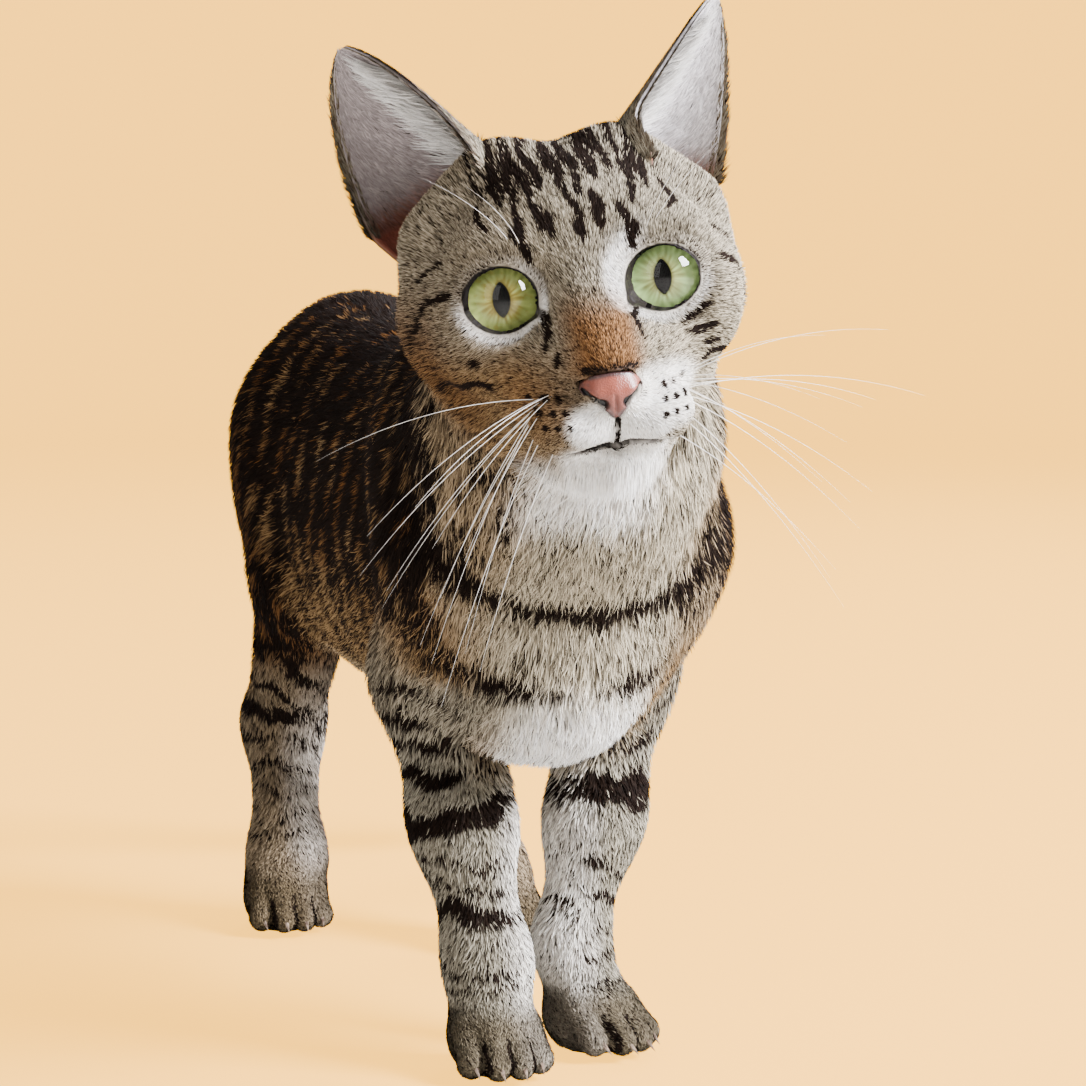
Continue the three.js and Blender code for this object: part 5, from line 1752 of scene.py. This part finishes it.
def shown(name, mesh, material=None):
    piece = bpy.data.objects.new(name, mesh)
    bpy.context.scene.collection.objects.link(piece)
    if material:
        mesh.materials.append(material)
    return piece


def unwrap(piece):
    """Lays the skin's own shape flat in the OFBake map."""
    piece.data.uv_layers.new(name="OFBake")
    bpy.context.view_layer.objects.active = piece
    piece.select_set(True)
    bpy.ops.object.mode_set(mode="EDIT")
    bpy.ops.mesh.select_all(action="SELECT")
    bpy.ops.uv.smart_project(angle_limit=math.radians(66), island_margin=0.002)
    bpy.ops.object.mode_set(mode="OBJECT")
    piece.select_set(False)


EYE_BOXES = [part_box("eye_" + side) for side in ("left", "right")]
OFFSET = 1000 * np.mean([[np.array(corner) for corner in box] for box in EYE_BOXES], axis=(0, 1)) - HEAD_AT
WHISKER_ROOTS = pad_roots()
LINES = {
    "forehead": laid(FOREHEAD_MARKS),
    "cheek": laid(CHEEK_MARKS),
    "below eye": laid(BELOW_EYE_MARKS),
    "necklace": laid(NECKLACE_MARKS, head=False),
    "shoulder": laid(SHOULDER_MARKS, head=False),
}

grain = grain_group()
skin_finish = furry("skin", grain, 900, 0.18, bump=0.5, Roughness=0.65, Specular_IOR_Level=0.15)
coat_finish = furry("coat", grain, 300, 0.16, Roughness=0.75, Specular_IOR_Level=0.05)
whisker_finish = horn_material("whisker", "e9e2d8", "fffaf2", 400, Roughness=0.35)
claw_finish = horn_material("claw horn", "4a3a30", "8d7a68", 700, Roughness=0.3, Coat_Weight=0.4)
iris_finish, cornea_finish, leather_finish = iris_material(), cornea_material(), leather_material()

skin = shown("skin", joined_mesh(body_mesh(), [ear_mesh(side) for side in EAR]))
unwrap(skin)
paint(skin.data, skin_colours(points_of(skin.data), normals_of(skin.data)))

rng = np.random.default_rng(2024)
locks, region = body_locks(skin.data, rng)
skin_faces = skin.data.polygons
tree = BVHTree.FromPolygons([tuple(point) for point in points_of(skin.data)],
                            [tuple(face.vertices) for face in skin_faces])
unwrapped = skin.data.uv_layers["OFBake"].uv
face_places = np.array([unwrapped[face.loop_start].vector[:] for face in skin_faces])
coat_sets = {name: [column[region == name] for column in locks] for name in REGIONS}
for side in EAR:
    coat_sets["ear_" + side] = ear_locks(side, rng, tree, face_places)
for name, columns in coat_sets.items():
    roots = columns[0]
    pieces = max(1, math.ceil(len(roots) / LOCKS_IN_PIECE))
    from_front = np.argsort(roots[:, 1], kind="stable")
    for n, chosen in enumerate(np.array_split(from_front, pieces)):
        label = f"coat_{name}_{n + 1}"
        piece = shown(label, lock_mesh(label, *(column[chosen] for column in columns)), coat_finish)
        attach(piece, "root")

set_points(skin.data, in_frame(points_of(skin.data)))
skin.data.materials.clear()
skin.data.materials.append(skin_finish)
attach(skin, "root")
flesh = [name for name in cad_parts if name.startswith(
    ("head", "neck", "trunk", "foreleg", "forepaw", "thigh", "shank", "hindpaw", "tail", "ear"))]
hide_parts(*flesh)

nose = shown("nose_leather", nose_mesh(), leather_finish)
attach(nose, "root")
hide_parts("nose")
for side in ("left", "right"):
    ball = shown("eyeball_" + side, eyeball_mesh(side), iris_finish)
    cornea = shown("cornea_" + side, cornea_mesh(side), cornea_finish)
    for piece in (ball, cornea):
        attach(piece, "root")
    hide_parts("eye_" + side)
whiskers = whisker_piece(whisker_finish, rng)
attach(whiskers, "root")
for name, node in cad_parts.items():
    if name.startswith("claw"):
        for slot in node.material_slots:
            slot.material = claw_finish


# ------------------------------------------------------------------ floor, lights and camera

FLOOR_FLAT, STAGE_REACH, STAGE_BEND, STAGE_HEIGHT = 0.6, 2.7, 0.9, 2.6  # metres
STAGE_SIDES = 96
BACKDROP_SEEN, BACKDROP_BOUNCE, BACKDROP_GLOW = (0.3, 0.16, 0.04, 1), (0.5, 0.47, 0.42, 1), (1, 0.47, 0.03, 1)
BACKDROP_STRENGTH = 3.3


def stage_mesh():
    """A round pale floor that curves up into a wall all round."""
    profile = [(FLOOR_FLAT, 0.0)]
    for a in np.linspace(0, math.pi / 2, 17):
        profile.append((STAGE_REACH + STAGE_BEND * math.sin(a), STAGE_BEND * (1 - math.cos(a))))
    profile.append((STAGE_REACH + STAGE_BEND, STAGE_HEIGHT))
    ways = np.arange(STAGE_SIDES) * 2 * math.pi / STAGE_SIDES
    points = [(0.0, 0.0, 0.0)]
    for radius, height in profile:
        points += [(radius * math.cos(a), radius * math.sin(a), height) for a in ways]
    faces = [(0, 1 + i, 1 + (i + 1) % STAGE_SIDES) for i in range(STAGE_SIDES)]
    for row in range(len(profile) - 1):
        start = 1 + row * STAGE_SIDES
        for i in range(STAGE_SIDES):
            j = (i + 1) % STAGE_SIDES
            faces.append((start + i, start + STAGE_SIDES + i, start + STAGE_SIDES + j, start + j))
    mesh = mesh_of("floor", points, faces)
    shade_smooth(mesh)
    return mesh


def backdrop_material():
    """Warm and pale to the camera; what it sends back to the cat is nearly white."""
    material, nodes, links, shader = material_of(
        "pale backdrop", Roughness=0.9, Specular_IOR_Level=0.0, Emission_Color=BACKDROP_GLOW)
    path, chosen, glow = shader_nodes(nodes, "LightPath", "Mix", "Math")
    chosen.data_type = "RGBA"
    chosen.inputs["A"].default_value, chosen.inputs["B"].default_value = BACKDROP_BOUNCE, BACKDROP_SEEN
    glow.operation = "MULTIPLY"
    glow.inputs[1].default_value = BACKDROP_STRENGTH
    links.new(path.outputs["Is Camera Ray"], chosen.inputs["Factor"])
    links.new(path.outputs["Is Camera Ray"], glow.inputs[0])
    links.new(chosen.outputs["Result"], shader.inputs["Base Color"])
    links.new(glow.outputs[0], shader.inputs["Emission Strength"])
    return material


floor = shown("floor", stage_mesh(), backdrop_material())

CAMERA_AT = np.array([-312.26, -1046.73, 265.07])
CAMERA_DOWN, CAMERA_AZIMUTH = 5.857, 18.565
CAMERA_LENS, CAMERA_SENSOR = 106.08, 36.0
camera = bpy.data.objects.new("camera", bpy.data.cameras.new("camera"))
camera.data.lens, camera.data.sensor_width = CAMERA_LENS, CAMERA_SENSOR
camera.data.clip_start, camera.data.clip_end = 0.05, 20
camera.location = in_frame(CAMERA_AT)
camera.rotation_euler = (math.radians(90 - CAMERA_DOWN), 0, -math.radians(CAMERA_AZIMUTH))
bpy.context.scene.collection.objects.link(camera)
bpy.context.scene.camera = camera

LAMPS = (  # name, place (m), size, watts, colour
    ("window", (1.3, -1.1, 1.3), 0.8, 310, "f8f8ff"),
    ("fill", (-1.5, -1.2, 0.8), 1.6, 14, "f6f4f2"),
    ("back", (0.9, 1.3, 1.3), 0.9, 44, "f4f6ff"),
)
LAMPS_AIM = Vector((-0.03, -0.08, 0.17))
SKY, SKY_STRENGTH = (*tint("f0f4ff"), 1), 0.5
for name, place, size, watts, colour in LAMPS:
    lamp = bpy.data.lights.new(name, "AREA")
    lamp.size, lamp.energy, lamp.color = size, watts, tint(colour)
    holder = bpy.data.objects.new(name, lamp)
    holder.location = place
    holder.rotation_euler = (LAMPS_AIM - Vector(place)).to_track_quat("-Z", "Y").to_euler()
    bpy.context.scene.collection.objects.link(holder)
world = bpy.data.worlds.new("studio")
world.use_nodes = True
sky = world.node_tree.nodes["Background"]
sky.inputs["Color"].default_value, sky.inputs["Strength"].default_value = SKY, SKY_STRENGTH
bpy.context.scene.world = world
